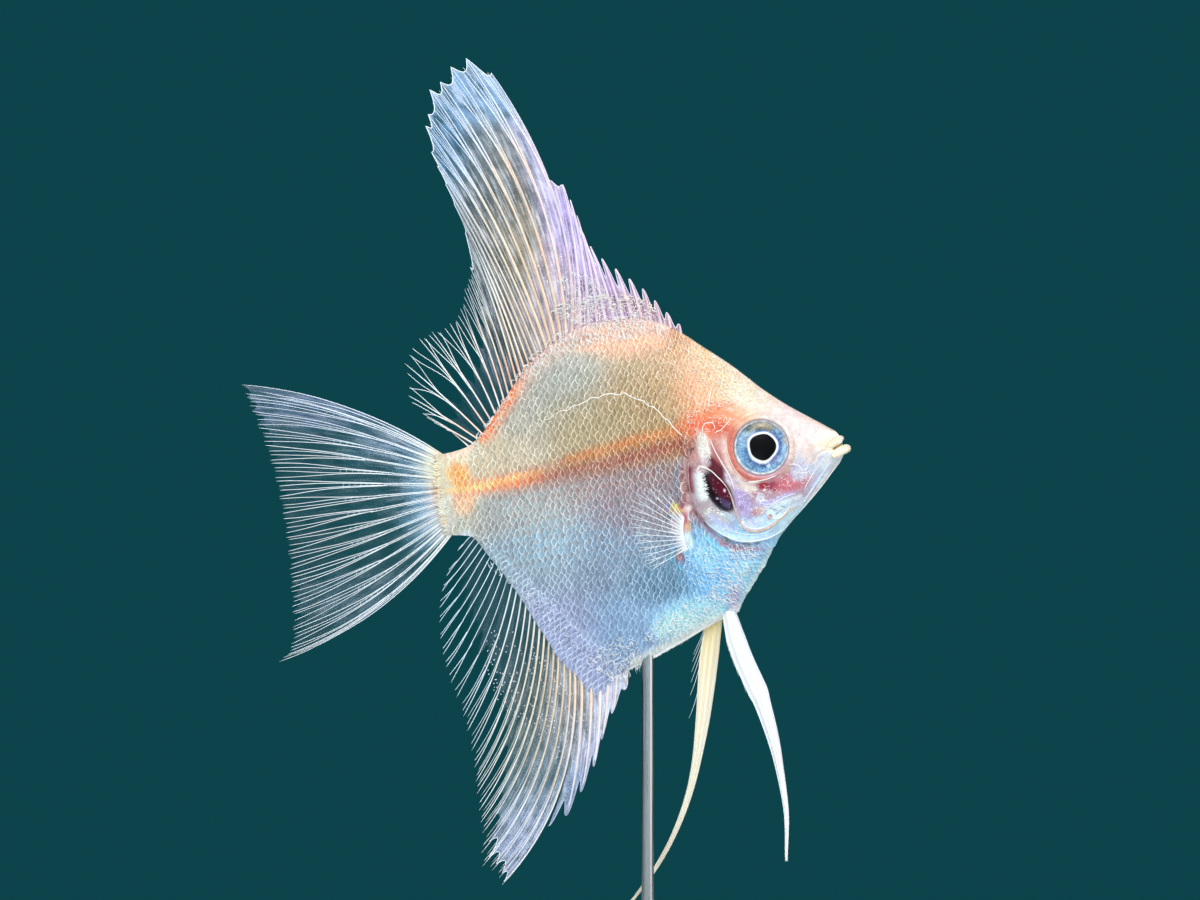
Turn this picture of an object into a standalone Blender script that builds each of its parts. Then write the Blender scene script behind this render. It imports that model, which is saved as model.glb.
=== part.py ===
"""A freshwater angelfish, life size, gliding slightly nose up above a plain display stand.

Metres, +Z up. The fish faces +X and its right side is -Y. The origin is under the middle of the model, on
the underside of the stand. The fish is modelled in its own axes, with their origin at the middle of the tail
fin's root and +X along its body, and one empty carries it at its height and pitch.
Lengths of the fish are in units of a fiftieth of its standard length (upper lip to tail root), so here in mm.
"""

import math

import bmesh
import bpy
from mathutils import Matrix, Vector

STANDARD_LENGTH = 0.050
UNIT = STANDARD_LENGTH / 50
PITCH = math.radians(6.5)  # nose up
FISH_ORIGIN = Vector((-0.0125, 0, 0.0625))  # where the fish's own origin is carried
GAP = 0.3  # between neighbouring solids

# The body in side view, from the tail fin's root to the lips: (x, height).
BACK = [(-1, 4.9), (0, 4.9), (3, 5.3), (5.2, 6.7), (7.4, 9.2), (9.9, 12.2), (12.7, 14.9), (15.8, 16.8),
        (18.8, 17.7), (22.4, 18), (25.9, 18), (29, 17.4), (31, 16.4), (34, 14.1), (37, 11.6), (40, 8.7),
        (43, 6.2), (46, 4.1), (48, 2.7), (49, 1.95), (49.7, 1.3), (50.1, 0.5), (50.4, 0.1)]
BELLY = [(-1, -5.3), (0.4, -5.4), (2.5, -5.8), (5, -8.2), (11, -15.6), (17, -22.3), (19.7, -24.1),
         (21.2, -23.7), (26.4, -21.6), (32, -19.3), (34, -18.9), (35, -17.4), (38, -13.5), (40, -10.6),
         (42, -8.4), (44, -6.6), (46, -4.7), (48, -2.6), (50, -0.6), (50.4, -0.15)]
# Half the thickness, the height where the body is thickest, and how the flanks close above and below it:
# an exponent of 0.5 is a round ridge, 1 a sharp one.
THICK = [(-1, 1.0), (2, 1.25), (6, 1.9), (12, 2.7), (20, 3.6), (27, 4.15), (33, 4.35), (38, 4.0), (42, 3.2),
         (46, 2.2), (49, 1.35), (50.1, 0.8), (50.4, 0.4)]
WIDEST = [(-1, 0), (10, -0.5), (20, -1.5), (28, -3.5), (34, -3.5), (38, -1.5), (44, 0), (50, 0.2)]
BACK_RIDGE = [(-1, 0.5), (5, 0.7), (18, 0.85), (30, 0.85), (36, 0.72), (44, 0.55), (50, 0.5)]
BELLY_RIDGE = [(-1, 0.5), (5, 0.8), (16, 0.85), (21, 0.5), (30, 0.5), (36, 0.6), (44, 0.55), (50, 0.5)]
STATIONS = [-1, 0.5, 2.5, 4, 5.5, 7.5, 9.5, 12, 14.5, 17, 19.7, 21.5, 24, 27, 29, 31, 32.5, 34, 35, 36.5,
            38, 40, 42, 44, 46, 47.5, 49, 49.7, 50.1, 50.4]
RING = 24

EYE_CENTRE = (39.2, 1.2)
EYE_RADIUS = 3.45
EYE_SEAT = 3.5  # how far out the rim of the eye lies
EYE_DOME = 0.95  # how far the eye bulges past its rim
EYE_DEPTH = 2.2  # how far it reaches into the head
EYE_TURN = (math.radians(6), math.radians(8))  # upwards and forwards

GILL_CENTRE = (36.6, -3.1)
GILL_RADII = (6.9, 7.2)
GILL_COVER = (0.6, 0.25)  # how deep the plate reaches, and how far it stands out at its free edge
GILL_WIDTH = [(150, 3.4), (180, 5.2), (210, 4.5), (240, 2.6), (265, 1.6), (290, 1.0)]  # by its angle

FIN_SKIN = 0.5  # thickness of a fin between its rays
FIN_RAY = 0.8  # and over a ray at its root

STAND_BASE = (52.0, 36.0, 4.0)  # length, width and thickness in millimetres
STAND_CENTRE = 10.0
ROD_RADIUS = 0.75
ROD_X = 12.4
ROD_TOP = 45.5
FLANGE = (3.0, 1.2)

COLOURS = {  # base colour, roughness, metallic
    "flank": ((0.62, 0.68, 0.72), 0.3, 0.2),
    "face": ((0.86, 0.66, 0.58), 0.35, 0.05),
    "lip": ((0.88, 0.76, 0.52), 0.4, 0.0),
    "gill": ((0.66, 0.40, 0.42), 0.3, 0.15),
    "fin": ((0.66, 0.70, 0.82), 0.4, 0.0),
    "feeler": ((0.93, 0.92, 0.90), 0.45, 0.0),
    "eye": ((0.30, 0.47, 0.60), 0.08, 0.2),
    "walnut": ((0.20, 0.11, 0.06), 0.45, 0.0),
    "steel": ((0.62, 0.62, 0.63), 0.25, 1.0),
}


# ---------------------------------------------------------------- curves

def eased(table):
    """A function through (x, value) rows that never overshoots them: cubic, with limited slopes."""
    xs = [row[0] for row in table]
    values = [row[1] for row in table]
    steps = [(values[i + 1] - values[i]) / (xs[i + 1] - xs[i]) for i in range(len(xs) - 1)]
    slopes = [steps[0]]
    for before, after in zip(steps, steps[1:]):
        same_way = before * after > 0
        slopes.append(2 * before * after / (before + after) if same_way else 0.0)
    slopes.append(steps[-1])

    def value_at(x):
        x = min(max(x, xs[0]), xs[-1])
        i = max(k for k in range(len(xs) - 1) if xs[k] <= x)
        width = xs[i + 1] - xs[i]
        t = (x - xs[i]) / width
        return (values[i] * (1 + 2 * t) * (1 - t) ** 2 + values[i + 1] * t * t * (3 - 2 * t)
                + width * (slopes[i] * t * (1 - t) ** 2 - slopes[i + 1] * t * t * (1 - t)))

    return value_at


def path_through(points):
    """A smooth path of s from 0 to 1 through the points, with s going by the distance between them."""
    lengths = [0.0]
    for a, b in zip(points, points[1:]):
        lengths.append(lengths[-1] + math.dist(a, b))
    shares = [length / lengths[-1] for length in lengths]
    along = [eased(list(zip(shares, axis))) for axis in zip(*points)]
    return lambda s: Vector([f(s) for f in along])


back, belly = eased(BACK), eased(BELLY)
thick, widest = eased(THICK), eased(WIDEST)
back_ridge, belly_ridge = eased(BACK_RIDGE), eased(BELLY_RIDGE)


def flank(x, z):
    """Half the body's thickness at a point of its side."""
    middle = widest(x)
    if z > middle:
        rise, ridge = (z - middle) / (back(x) - middle), back_ridge(x)
    else:
        rise, ridge = (middle - z) / (middle - belly(x)), belly_ridge(x)
    return thick(x) * max(1 - rise * rise, 0.0) ** ridge


# ---------------------------------------------------------------- objects

def clear_scene():
    for obj in list(bpy.data.objects):
        bpy.data.objects.remove(obj)


def material(name):
    found = bpy.data.materials.get(name)
    if found:
        return found
    colour, roughness, metallic = COLOURS[name]
    made = bpy.data.materials.new(name)
    made.use_nodes = True
    shader = made.node_tree.nodes["Principled BSDF"]
    shader.inputs["Base Color"].default_value = (*colour, 1)
    shader.inputs["Roughness"].default_value = roughness
    shader.inputs["Metallic"].default_value = metallic
    return made


def place(name, mesh, finish, carrier):
    obj = bpy.data.objects.new(name, mesh)
    bpy.context.scene.collection.objects.link(obj)
    if finish:
        mesh.materials.append(material(finish))
        mesh.shade_smooth()
        mesh.set_sharp_from_angle(angle=math.radians(40))
    obj.parent = carrier
    return obj


def mesh_of(name, verts, faces):
    """A mesh from points in the fish's units, with its normals made to agree."""
    mesh = bpy.data.meshes.new(name)
    mesh.from_pydata([Vector(v) * UNIT for v in verts], [], faces)
    shape = bmesh.new()
    shape.from_mesh(mesh)
    bmesh.ops.recalc_face_normals(shape, faces=shape.faces)
    shape.to_mesh(mesh)
    shape.free()
    return mesh


def cutter(name, mesh, carrier):
    obj = place(name, mesh, None, carrier)
    obj.hide_render = True
    obj.display_type = "WIRE"
    return obj


def boolean(obj, operation, other):
    modifier = obj.modifiers.new(other.name, "BOOLEAN")
    modifier.operation = operation
    modifier.object = other
    modifier.solver = "EXACT"


def lofted(name, rings):
    """A closed solid over rings of points, all with the same count."""
    count = len(rings[0])
    faces = [list(range(count)), [(len(rings) - 1) * count + k for k in range(count)]]
    for i in range(len(rings) - 1):
        for k in range(count):
            after = (k + 1) % count
            faces.append([i * count + k, i * count + after, (i + 1) * count + after, (i + 1) * count + k])
    return mesh_of(name, [point for ring in rings for point in ring], faces)


def prism(name, outline, carrier, half_width=8.0):
    """A cutter: an outline in side view, carried right through the body."""
    rings = [[(x, y, z) for x, z in outline] for y in (-half_width, half_width)]
    return cutter(name, lofted(name, rings), carrier)


# ---------------------------------------------------------------- body

def body_mesh(name):
    rings = []
    for x in STATIONS:
        ring = []
        for k in range(RING):
            angle = 2 * math.pi * k / RING
            rise, side = math.sin(angle), math.cos(angle)
            upper = rise > 0
            reach = (back(x) if upper else -belly(x)) + (-widest(x) if upper else widest(x))
            ridge = back_ridge(x) if upper else belly_ridge(x)
            y = math.copysign(thick(x) * abs(side) ** (2 * ridge), side) if abs(side) > 1e-9 else 0.0
            ring.append((x, y, widest(x) + reach * rise))
        rings.append(ring)
    return lofted(name, rings)


def shifted(line, distance):
    """A line in side view moved sideways: to the left of the way it runs, for a distance above 0."""
    moved = []
    for i, point in enumerate(line):
        before = Vector(line[max(i - 1, 0)])
        after = Vector(line[min(i + 1, len(line) - 1)])
        run = (after - before).normalized()
        moved.append((point[0] - run.y * distance, point[1] + run.x * distance))
    return moved


def gill_edge(turn, grow=0.0):
    """A point of the gill cover's free edge, by its angle seen from the cover's middle."""
    return (GILL_CENTRE[0] + (GILL_RADII[0] + grow) * math.cos(turn),
            GILL_CENTRE[1] + (GILL_RADII[1] + grow) * math.sin(turn))


TAIL_SEAM = [(2.6, -10), (2.2, 0), (2.6, 10)]
GILL_SEAM = ([(33.8, 20), (33.4, 6)]
             + [gill_edge(math.radians(turn)) for turn in range(128, 306, 12)]
             + [(44.5, -11)])
JAW_SEAM = [(46.3, 7), (47.3, 2), (47.7, 0.2), (46.0, -1.8), (45.2, -3.2), (44.2, -9)]
MOUTH = [(47.7, 0.2), (49, 0.55), (53, 0.9)]
UPPER_LIP = [(49.55, 0.8), (49.68, 1.15), (49.55, 1.6), (49.2, 3)]


def body_piece(name, finish, outline, carrier):
    obj = place(name, body_mesh(name), finish, carrier)
    boolean(obj, "INTERSECT", prism(name + "_outline", outline, carrier))
    return obj


def make_body(carrier):
    half = GAP / 2
    peduncle = body_piece("tail_base", "flank",
                          shifted(TAIL_SEAM, half) + [(-5, 10), (-5, -10)], carrier)
    trunk = body_piece("trunk", "flank",
                       shifted(TAIL_SEAM, -half) + [(2.6, 25)] + shifted(GILL_SEAM, -half)
                       + [(44.5, -30), (2.6, -30)], carrier)
    head = body_piece("head", "face",
                      shifted(GILL_SEAM, half) + shifted(JAW_SEAM, -half)[::-1] + [(46.3, 20)], carrier)
    upper_jaw = body_piece("upper_jaw", "lip",
                           shifted(JAW_SEAM[:3] + MOUTH[1:2], half) + UPPER_LIP + [(48, 7)], carrier)
    lower_jaw = body_piece("lower_jaw", "lip",
                           shifted(MOUTH[::-1] + JAW_SEAM[3:], half) + [(53, -9)], carrier)
    return {"tail_base": peduncle, "trunk": trunk, "head": head, "upper_jaw": upper_jaw,
            "lower_jaw": lower_jaw}


def eye_mesh(name, grow=0.0, columns=24, rows=8):
    """A fish's eye: a shallow dome outside its rim and a deeper bowl inside. Outside is +Y."""
    rings = []
    for i in range(1, rows):
        polar = math.pi * i / rows
        height = math.cos(polar)
        depth = (EYE_DOME if height > 0 else EYE_DEPTH) + grow
        ring = [((EYE_RADIUS + grow) * math.sin(polar) * math.cos(turn), depth * height,
                 (EYE_RADIUS + grow) * math.sin(polar) * math.sin(turn))
                for turn in (2 * math.pi * k / columns for k in range(columns))]
        rings.append(ring)
    return lofted(name, rings)


def make_eyes(carrier, head):
    for side, out in (("right", -1), ("left", 1)):
        seat = (Matrix.Translation(Vector((EYE_CENTRE[0], out * EYE_SEAT, EYE_CENTRE[1])) * UNIT)
                @ Matrix.Rotation(-out * EYE_TURN[1], 4, "Z")
                @ Matrix.Rotation(out * EYE_TURN[0] + (0 if out > 0 else math.pi), 4, "X"))
        eye = place("eye_" + side, eye_mesh("eye_" + side), "eye", carrier)
        eye.matrix_local = seat
        socket = cutter("socket_" + side, eye_mesh("socket_" + side, GAP), carrier)
        socket.matrix_local = seat
        boolean(head, "DIFFERENCE", socket)


def gill_plate(name, out, grow, carrier, finish):
    """The crescent behind the cheek, following the body's side. grow makes the recess that it lies in."""
    depth, stand = GILL_COVER
    width_at = eased(GILL_WIDTH)
    rings = []
    for i in range(15):
        degrees = 150 + 10 * i
        turn, width = math.radians(degrees), width_at(degrees)
        ring = []
        for inset, lift in ((GAP / 2 - grow, stand), (width * 0.5, stand * 0.6), (width + grow, 0.1)):
            x, z = gill_edge(turn, -inset)
            ring.append((x, out * (flank(x, z) + lift + 2 * grow), z))
        for inset in (width + grow, width * 0.5, GAP / 2 - grow):
            x, z = gill_edge(turn, -inset)
            ring.append((x, out * (flank(x, z) - depth - grow), z))
        rings.append(ring)
    mesh = lofted(name, rings)
    return place(name, mesh, finish, carrier) if finish else cutter(name, mesh, carrier)


def make_gill_covers(carrier, head):
    for side, out in (("right", -1), ("left", 1)):
        gill_plate("gill_cover_" + side, out, 0.0, carrier, "gill")
        boolean(head, "DIFFERENCE", gill_plate("gill_recess_" + side, out, GAP, carrier, None))


# ---------------------------------------------------------------- fins

def ray_point(root, tip, bow, v):
    """A point along a fin ray. bow pushes its middle to the left of the way it runs, by a share of it."""
    run = tip - root
    middle = (root + tip) / 2 + bow * Vector((-run.y, run.x))
    return (1 - v) ** 2 * root + 2 * v * (1 - v) * middle + v * v * tip


def ray(root, tip, bow, notch, side, web=1.0):
    """One fin ray, from root to tip, both (x, z). The fin's edge falls back by notch behind it, and the skin
    from its tip is held at web of the next ray's length. side(v) is its y."""
    return root, tip, bow, notch, side, web


def fin_sheet(name, rays, rows, carrier, finish="fin"):
    """A fin: one sheet over its rays, thicker along each and scalloped between their tips."""
    columns = []
    for i, (root, tip, bow, notch, side, web) in enumerate(rays):
        steps = [r / rows for r in range(rows + 1)]
        columns.append((1.0, [(ray_point(root, tip, bow, v), side(v)) for v in steps]))
        if i + 1 < len(rays):
            root2, tip2, bow2, _, side2, _ = rays[i + 1]
            between = []
            for step in steps:
                v = step * (1 - notch)
                flat = (ray_point(root, tip, bow, v) + ray_point(root2, tip2, bow2, v * web)) / 2
                between.append((flat, (side(v) + side2(v * web)) / 2))
            columns.append((0.0, between))
    verts = [(p.x, y, p.y) for _, column in columns for p, y in column]
    count = rows + 1
    faces = [[c * count + r, c * count + r + 1, (c + 1) * count + r + 1, (c + 1) * count + r]
             for c in range(len(columns) - 1) for r in range(rows)]
    obj = place(name, mesh_of(name, verts, faces), finish, carrier)
    ridge = obj.vertex_groups.new(name="ray")
    for c, (on_ray, _) in enumerate(columns):
        for r in range(count):
            ridge.add([c * count + r], on_ray * (1 - 0.8 * r / rows), "REPLACE")
    solid = obj.modifiers.new("thickness", "SOLIDIFY")
    solid.thickness = FIN_RAY * UNIT
    solid.offset = 0
    solid.vertex_group = "ray"
    solid.thickness_vertex_group = FIN_SKIN / FIN_RAY
    return obj


def curl(reach):
    """A fin's gentle lean to one side: nothing at its root and reach at its tips."""
    return lambda v: reach * v * v


def spread(count):
    return [i / (count - 1) for i in range(count)]


def make_dorsal_fin(carrier):
    spine_tips = path_through([(31, 17.4), (29, 19.8), (27.1, 22.2), (24.3, 24.8), (21.9, 27.2), (20.6, 29.4),
                               (19.7, 33.2), (18.6, 36.2)])
    soft_tips = path_through([(11.4, 51), (8.6, 53), (5, 51), (3, 47), (3.4, 41.6), (5, 35.5), (6.5, 30),
                              (5.6, 25.4), (3, 21), (-1.2, 19.4), (-3.3, 16.5), (-3.3, 12.5), (-1.4, 9.6),
                              (1.6, 7.3)])
    rays = []
    for s in spread(12):
        x = 31 - 12.4 * s
        rays.append(ray(Vector((x, back(x) + GAP)), spine_tips(s), -0.04, 0.5 - 0.46 * s, curl(0.5 * s),
                        0.55 if s == 1 else 1.0))
    for s in spread(24):
        x = 17.5 - 13.8 * s
        rays.append(ray(Vector((x, back(x) + GAP)), soft_tips(s), -0.18 + 0.14 * s, 0.04,
                        curl(0.5 + 1.0 * s)))
    return fin_sheet("dorsal_fin", rays, 5, carrier)


def make_anal_fin(carrier):
    spine_tips = path_through([(19.5, -26.3), (18.4, -27.5), (17.3, -29.4), (15.7, -32.2), (13.9, -36.2),
                               (10.5, -41.2)])
    soft_tips = path_through([(1.6, -48.9), (-0.4, -45.5), (-0.4, -39.5), (-0.5, -33), (-1.3, -26),
                              (-2.7, -19.5), (-2.6, -15), (-1.4, -10.7), (0.8, -7)])
    rays = []
    for s in spread(6):
        x = 19.6 - 5.3 * s
        rays.append(ray(Vector((x, belly(x) - GAP)), spine_tips(s), 0.05 + 0.04 * s, 0.25 - 0.2 * s,
                        curl(-0.4), 0.74 if s == 1 else 1.0))
    for s in spread(24):
        x = 13.4 - 10.7 * s
        rays.append(ray(Vector((x, belly(x) - GAP)), soft_tips(s), 0.24 - 0.18 * s, 0.04,
                        curl(-0.6 - 0.6 * s)))
    return fin_sheet("anal_fin", rays, 5, carrier)


def make_tail_fin(carrier):
    edge = path_through([(-23.4, 16.1), (-22.6, 13), (-21.4, 8.6), (-20.4, 2.5), (-20.1, -4), (-20.3, -10),
                         (-20.9, -16.4), (-22.7, -18.3)])
    rays = []
    for s in spread(22):
        root = Vector((-1 - GAP, 4.8 - 10 * s))
        bow = -0.14 + 0.3 * s
        notch = 0.035 if 0 < s < 0.95 else 0.01
        rays.append(ray(root, edge(s), bow, notch, curl(-1.6 - 0.5 * math.sin(2 * math.pi * s))))
    return fin_sheet("tail_fin", rays, 5, carrier)


def make_pectoral_fins(carrier):
    """The pair at the shoulders, fanned out behind and held a little off the flanks."""
    for side, out in (("right", -1), ("left", 1)):
        rays = []
        for s in spread(10):
            root = Vector((28.1 + 0.4 * math.sin(math.pi * s), -5 - 5 * s))
            turn = math.radians(142 + 54 * s)
            length = 7.8 - 4 * (s - 0.22) ** 2
            tip = root + length * Vector((math.cos(turn), math.sin(turn)))
            start = flank(root.x, root.y) + GAP + FIN_RAY / 2
            rays.append(ray(root, tip, 0.0, 0.04, lambda v, y=start: out * (y + 1.7 * v ** 1.2)))
        fin_sheet("pectoral_fin_" + side, rays, 3, carrier)


def make_pelvic_fin(name, points, breadth, out, carrier):
    """A feeler: a narrow ribbon that tapers to a thread and leans away from the other one."""
    line, wide = path_through(points), eased(breadth)
    rows, columns = 15, (-1, -0.35, 0.35, 1)
    verts = []
    for r in range(rows + 1):
        s = r / rows
        run = (line(min(s + 0.02, 1)) - line(max(s - 0.02, 0))).normalized()
        for across in columns:
            point = line(s) + across * wide(s) / 2 * Vector((-run.y, run.x))
            cupped = 0.25 * (1 - across * across) * (1 - s)
            verts.append((point.x, out * (0.7 + 2.9 * s ** 1.3 + cupped), point.y))
    count = len(columns)
    faces = [[r * count + c, r * count + c + 1, (r + 1) * count + c + 1, (r + 1) * count + c]
             for r in range(rows) for c in range(count - 1)]
    obj = place(name, mesh_of(name, verts, faces), "feeler", carrier)
    solid = obj.modifiers.new("thickness", "SOLIDIFY")
    solid.thickness = FIN_SKIN * UNIT
    solid.offset = 0


def make_pelvic_fins(carrier):
    make_pelvic_fin("pelvic_fin_right", [(32.9, -19.35), (34.1, -24), (35.8, -30), (36.9, -37), (37.2, -43),
                                         (36.5, -49.6)],
                    [(0, 1.9), (0.15, 2.8), (0.35, 2.9), (0.5, 2), (0.65, 1.2), (0.8, 0.8), (1, 0.5)],
                    -1, carrier)
    make_pelvic_fin("pelvic_fin_left", [(30.8, -20.2), (30.1, -24.3), (28.2, -32), (26.1, -39.2),
                                        (22.8, -45.9), (17.6, -52.4), (14.2, -55.3)],
                    [(0, 2.2), (0.12, 2.6), (0.3, 2.1), (0.45, 1.25), (0.6, 0.8), (0.8, 0.55), (1, 0.5)],
                    1, carrier)


# ---------------------------------------------------------------- stand

def make_stand(trunk):
    length, width, height = (size * 0.001 for size in STAND_BASE)
    base = bmesh.new()
    bmesh.ops.create_circle(base, cap_ends=True, segments=40, radius=0.5)
    bmesh.ops.scale(base, verts=base.verts, vec=(length, width, 1))
    top = bmesh.ops.extrude_face_region(base, geom=base.faces[:])["geom"]
    bmesh.ops.translate(base, verts=[v for v in top if isinstance(v, bmesh.types.BMVert)], vec=(0, 0, height))
    bmesh.ops.recalc_face_normals(base, faces=base.faces)
    mesh = bpy.data.meshes.new("stand_base")
    base.to_mesh(mesh)
    base.free()
    plate = place("stand_base", mesh, "walnut", None)
    plate.location.x = STAND_CENTRE * 0.001
    bevel = plate.modifiers.new("edge", "BEVEL")
    bevel.width = 0.0008
    bevel.segments = 1
    bevel.limit_method = "ANGLE"

    foot, brim = STAND_BASE[2] - 2.5, STAND_BASE[2] + GAP
    reach, rise = FLANGE
    profile = [(0, ROD_TOP), (ROD_RADIUS * 0.6, ROD_TOP), (ROD_RADIUS, ROD_TOP - 0.5),
               (ROD_RADIUS, brim + rise), (reach - 0.3, brim + rise), (reach, brim + rise - 0.3),
               (reach, brim), (ROD_RADIUS, brim), (ROD_RADIUS, foot), (0, foot)]
    rod = turned("stand_rod", profile, "steel")
    sleeve = [(0, ROD_TOP + GAP), (ROD_RADIUS + GAP, ROD_TOP + GAP), (ROD_RADIUS + GAP, foot - GAP),
              (0, foot - GAP)]
    hole = turned("rod_hole", sleeve, None)
    hole.hide_render = True
    hole.display_type = "WIRE"
    for piece in (rod, hole):
        piece.location.x = ROD_X * 0.001
    boolean(plate, "DIFFERENCE", hole)
    boolean(trunk, "DIFFERENCE", hole)


def turned(name, profile, finish, segments=16):
    """A solid of revolution about Z, from a profile in millimetres that runs from the axis to the axis."""
    shape = bmesh.new()
    verts = [shape.verts.new((x * 0.001, 0, z * 0.001)) for x, z in profile]
    edges = [shape.edges.new(pair) for pair in zip(verts, verts[1:])]
    bmesh.ops.spin(shape, geom=verts + edges, cent=(0, 0, 0), axis=(0, 0, 1), angle=2 * math.pi,
                   steps=segments, use_merge=True)
    bmesh.ops.remove_doubles(shape, verts=shape.verts, dist=1e-7)
    bmesh.ops.recalc_face_normals(shape, faces=shape.faces)
    mesh = bpy.data.meshes.new(name)
    shape.to_mesh(mesh)
    shape.free()
    return place(name, mesh, finish, None)


def main():
    clear_scene()
    fish = bpy.data.objects.new("fish", None)
    bpy.context.scene.collection.objects.link(fish)
    fish.location = FISH_ORIGIN
    fish.rotation_euler.y = -PITCH
    pieces = make_body(fish)
    make_eyes(fish, pieces["head"])
    make_gill_covers(fish, pieces["head"])
    make_dorsal_fin(fish)
    make_anal_fin(fish)
    make_tail_fin(fish)
    make_pectoral_fins(fish)
    make_pelvic_fins(fish)
    make_stand(pieces["trunk"])


main()
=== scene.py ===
import math

import bpy
import numpy as np
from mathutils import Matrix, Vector


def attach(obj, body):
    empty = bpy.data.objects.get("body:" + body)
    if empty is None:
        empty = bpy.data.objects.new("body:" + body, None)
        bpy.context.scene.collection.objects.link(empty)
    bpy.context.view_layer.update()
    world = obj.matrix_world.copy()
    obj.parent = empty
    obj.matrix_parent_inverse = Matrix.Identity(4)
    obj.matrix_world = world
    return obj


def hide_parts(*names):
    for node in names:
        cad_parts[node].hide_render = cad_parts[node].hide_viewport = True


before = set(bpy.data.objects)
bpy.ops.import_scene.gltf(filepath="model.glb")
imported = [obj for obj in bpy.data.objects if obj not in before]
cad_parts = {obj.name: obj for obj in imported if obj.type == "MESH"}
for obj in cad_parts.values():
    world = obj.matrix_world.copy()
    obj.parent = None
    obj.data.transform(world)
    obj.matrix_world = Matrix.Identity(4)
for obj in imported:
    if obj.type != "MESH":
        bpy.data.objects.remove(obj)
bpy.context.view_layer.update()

print("frame loaded:", len(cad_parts), "nodes")

# The fish has its own axes: x along its body towards the snout, z up, y to its left, in millimetres from the
# middle of the tail fin's root. Everything below is worked out there and carried into the frame once.
fish = {
    "unit": 0.001,
    "noseUp": math.radians(6.5),
    "tailRoot": (-0.0125, 0.0, 0.0625),
    "coatDepth": 0.12,
    "seed": 7,
}
sides = ((-1, "right"), (1, "left"))


def toFrame(points):
    # the fish's millimetres turned nose up about the tail root and moved to its height, in metres
    x, y, z = np.moveaxis(np.asarray(points, float), -1, 0)
    c, s = math.cos(fish["noseUp"]), math.sin(fish["noseUp"])
    turned = np.stack([x * c - z * s, y, x * s + z * c], axis=-1)
    return turned * fish["unit"] + np.array(fish["tailRoot"])


# curves and falloffs

def soft(value, low, high):
    # 0 below low, 1 above high, and an S curve between
    t = np.clip((value - low) / (high - low), 0, 1)
    return t * t * (3 - 2 * t)


def bell(value, width):
    # 1 at nought, falling away on both sides within the width
    return np.exp(-(value / width) ** 2)


def eased(rows):
    # a smooth curve through (place, value) rows that never overshoots: cubic pieces whose slope at a row is
    # the harmonic mean of the steps beside it, or nought where those disagree
    at, value = np.array(rows, float).T
    step = np.diff(value) / np.diff(at)
    before, after = step[:-1], step[1:]
    agree = before * after > 0
    inner = np.where(agree, 2 * before * after / np.where(agree, before + after, 1), 0)
    slope = np.concatenate([step[:1], inner, step[-1:]])

    def curve(x):
        x = np.clip(x, at[0], at[-1])
        i = np.clip(np.searchsorted(at, x, side="right") - 1, 0, len(at) - 2)
        width = at[i + 1] - at[i]
        t = (x - at[i]) / width
        held = value[i] * (1 + 2 * t) * (1 - t) ** 2 + value[i + 1] * t * t * (3 - 2 * t)
        return held + width * (slope[i] * t * (1 - t) ** 2 - slope[i + 1] * t * t * (1 - t))

    return curve


def turning(degrees):
    # cosine and sine
    return math.cos(math.radians(degrees)), math.sin(math.radians(degrees))


def pathThrough(points):
    # a smooth path through the points, s from 0 to 1 by the distance between them
    points = np.array(points, float)
    lengths = np.concatenate([[0], np.cumsum(np.linalg.norm(np.diff(points, axis=0), axis=1))])
    along = [eased(np.column_stack([lengths / lengths[-1], axis])) for axis in points.T]
    return lambda s: np.stack([curve(s) for curve in along], axis=-1)


def nearPath(points, x, z, count=40):
    # distance to a smooth path, share of the way along it, and the side: +1 is left of its direction
    knots = pathThrough(points)(np.linspace(0, 1, count + 1))
    best = np.full(np.shape(x), 1e9)
    share, side = np.zeros(np.shape(x)), np.zeros(np.shape(x))
    for i in range(count):
        run = knots[i + 1] - knots[i]
        t = np.clip(((x - knots[i, 0]) * run[0] + (z - knots[i, 1]) * run[1]) / (run @ run), 0, 1)
        dx, dz = x - knots[i, 0] - t * run[0], z - knots[i, 1] - t * run[1]
        far = np.hypot(dx, dz)
        nearer = far < best
        best = np.where(nearer, far, best)
        share = np.where(nearer, (i + t) / count, share)
        side = np.where(nearer, np.sign(run[0] * dz - run[1] * dx), side)
    return best, share, side


# shader maths

class Wire:
    # an output socket of a material being made: adding to it, multiplying it or taking it from a number puts
    # in the Math node that does so
    def __init__(self, finish, socket):
        self.finish = finish
        self.socket = socket

    def maths(self, operation, first, second):
        return self.finish.node("ShaderNodeMath", {"operation": operation}, {0: first, 1: second})

    def __add__(self, other):
        return self.maths("ADD", self, other)

    def __rsub__(self, other):
        return self.maths("SUBTRACT", other, self)

    def __mul__(self, other):
        return self.maths("MULTIPLY", self, other)

    __radd__ = __add__
    __rmul__ = __mul__


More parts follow.
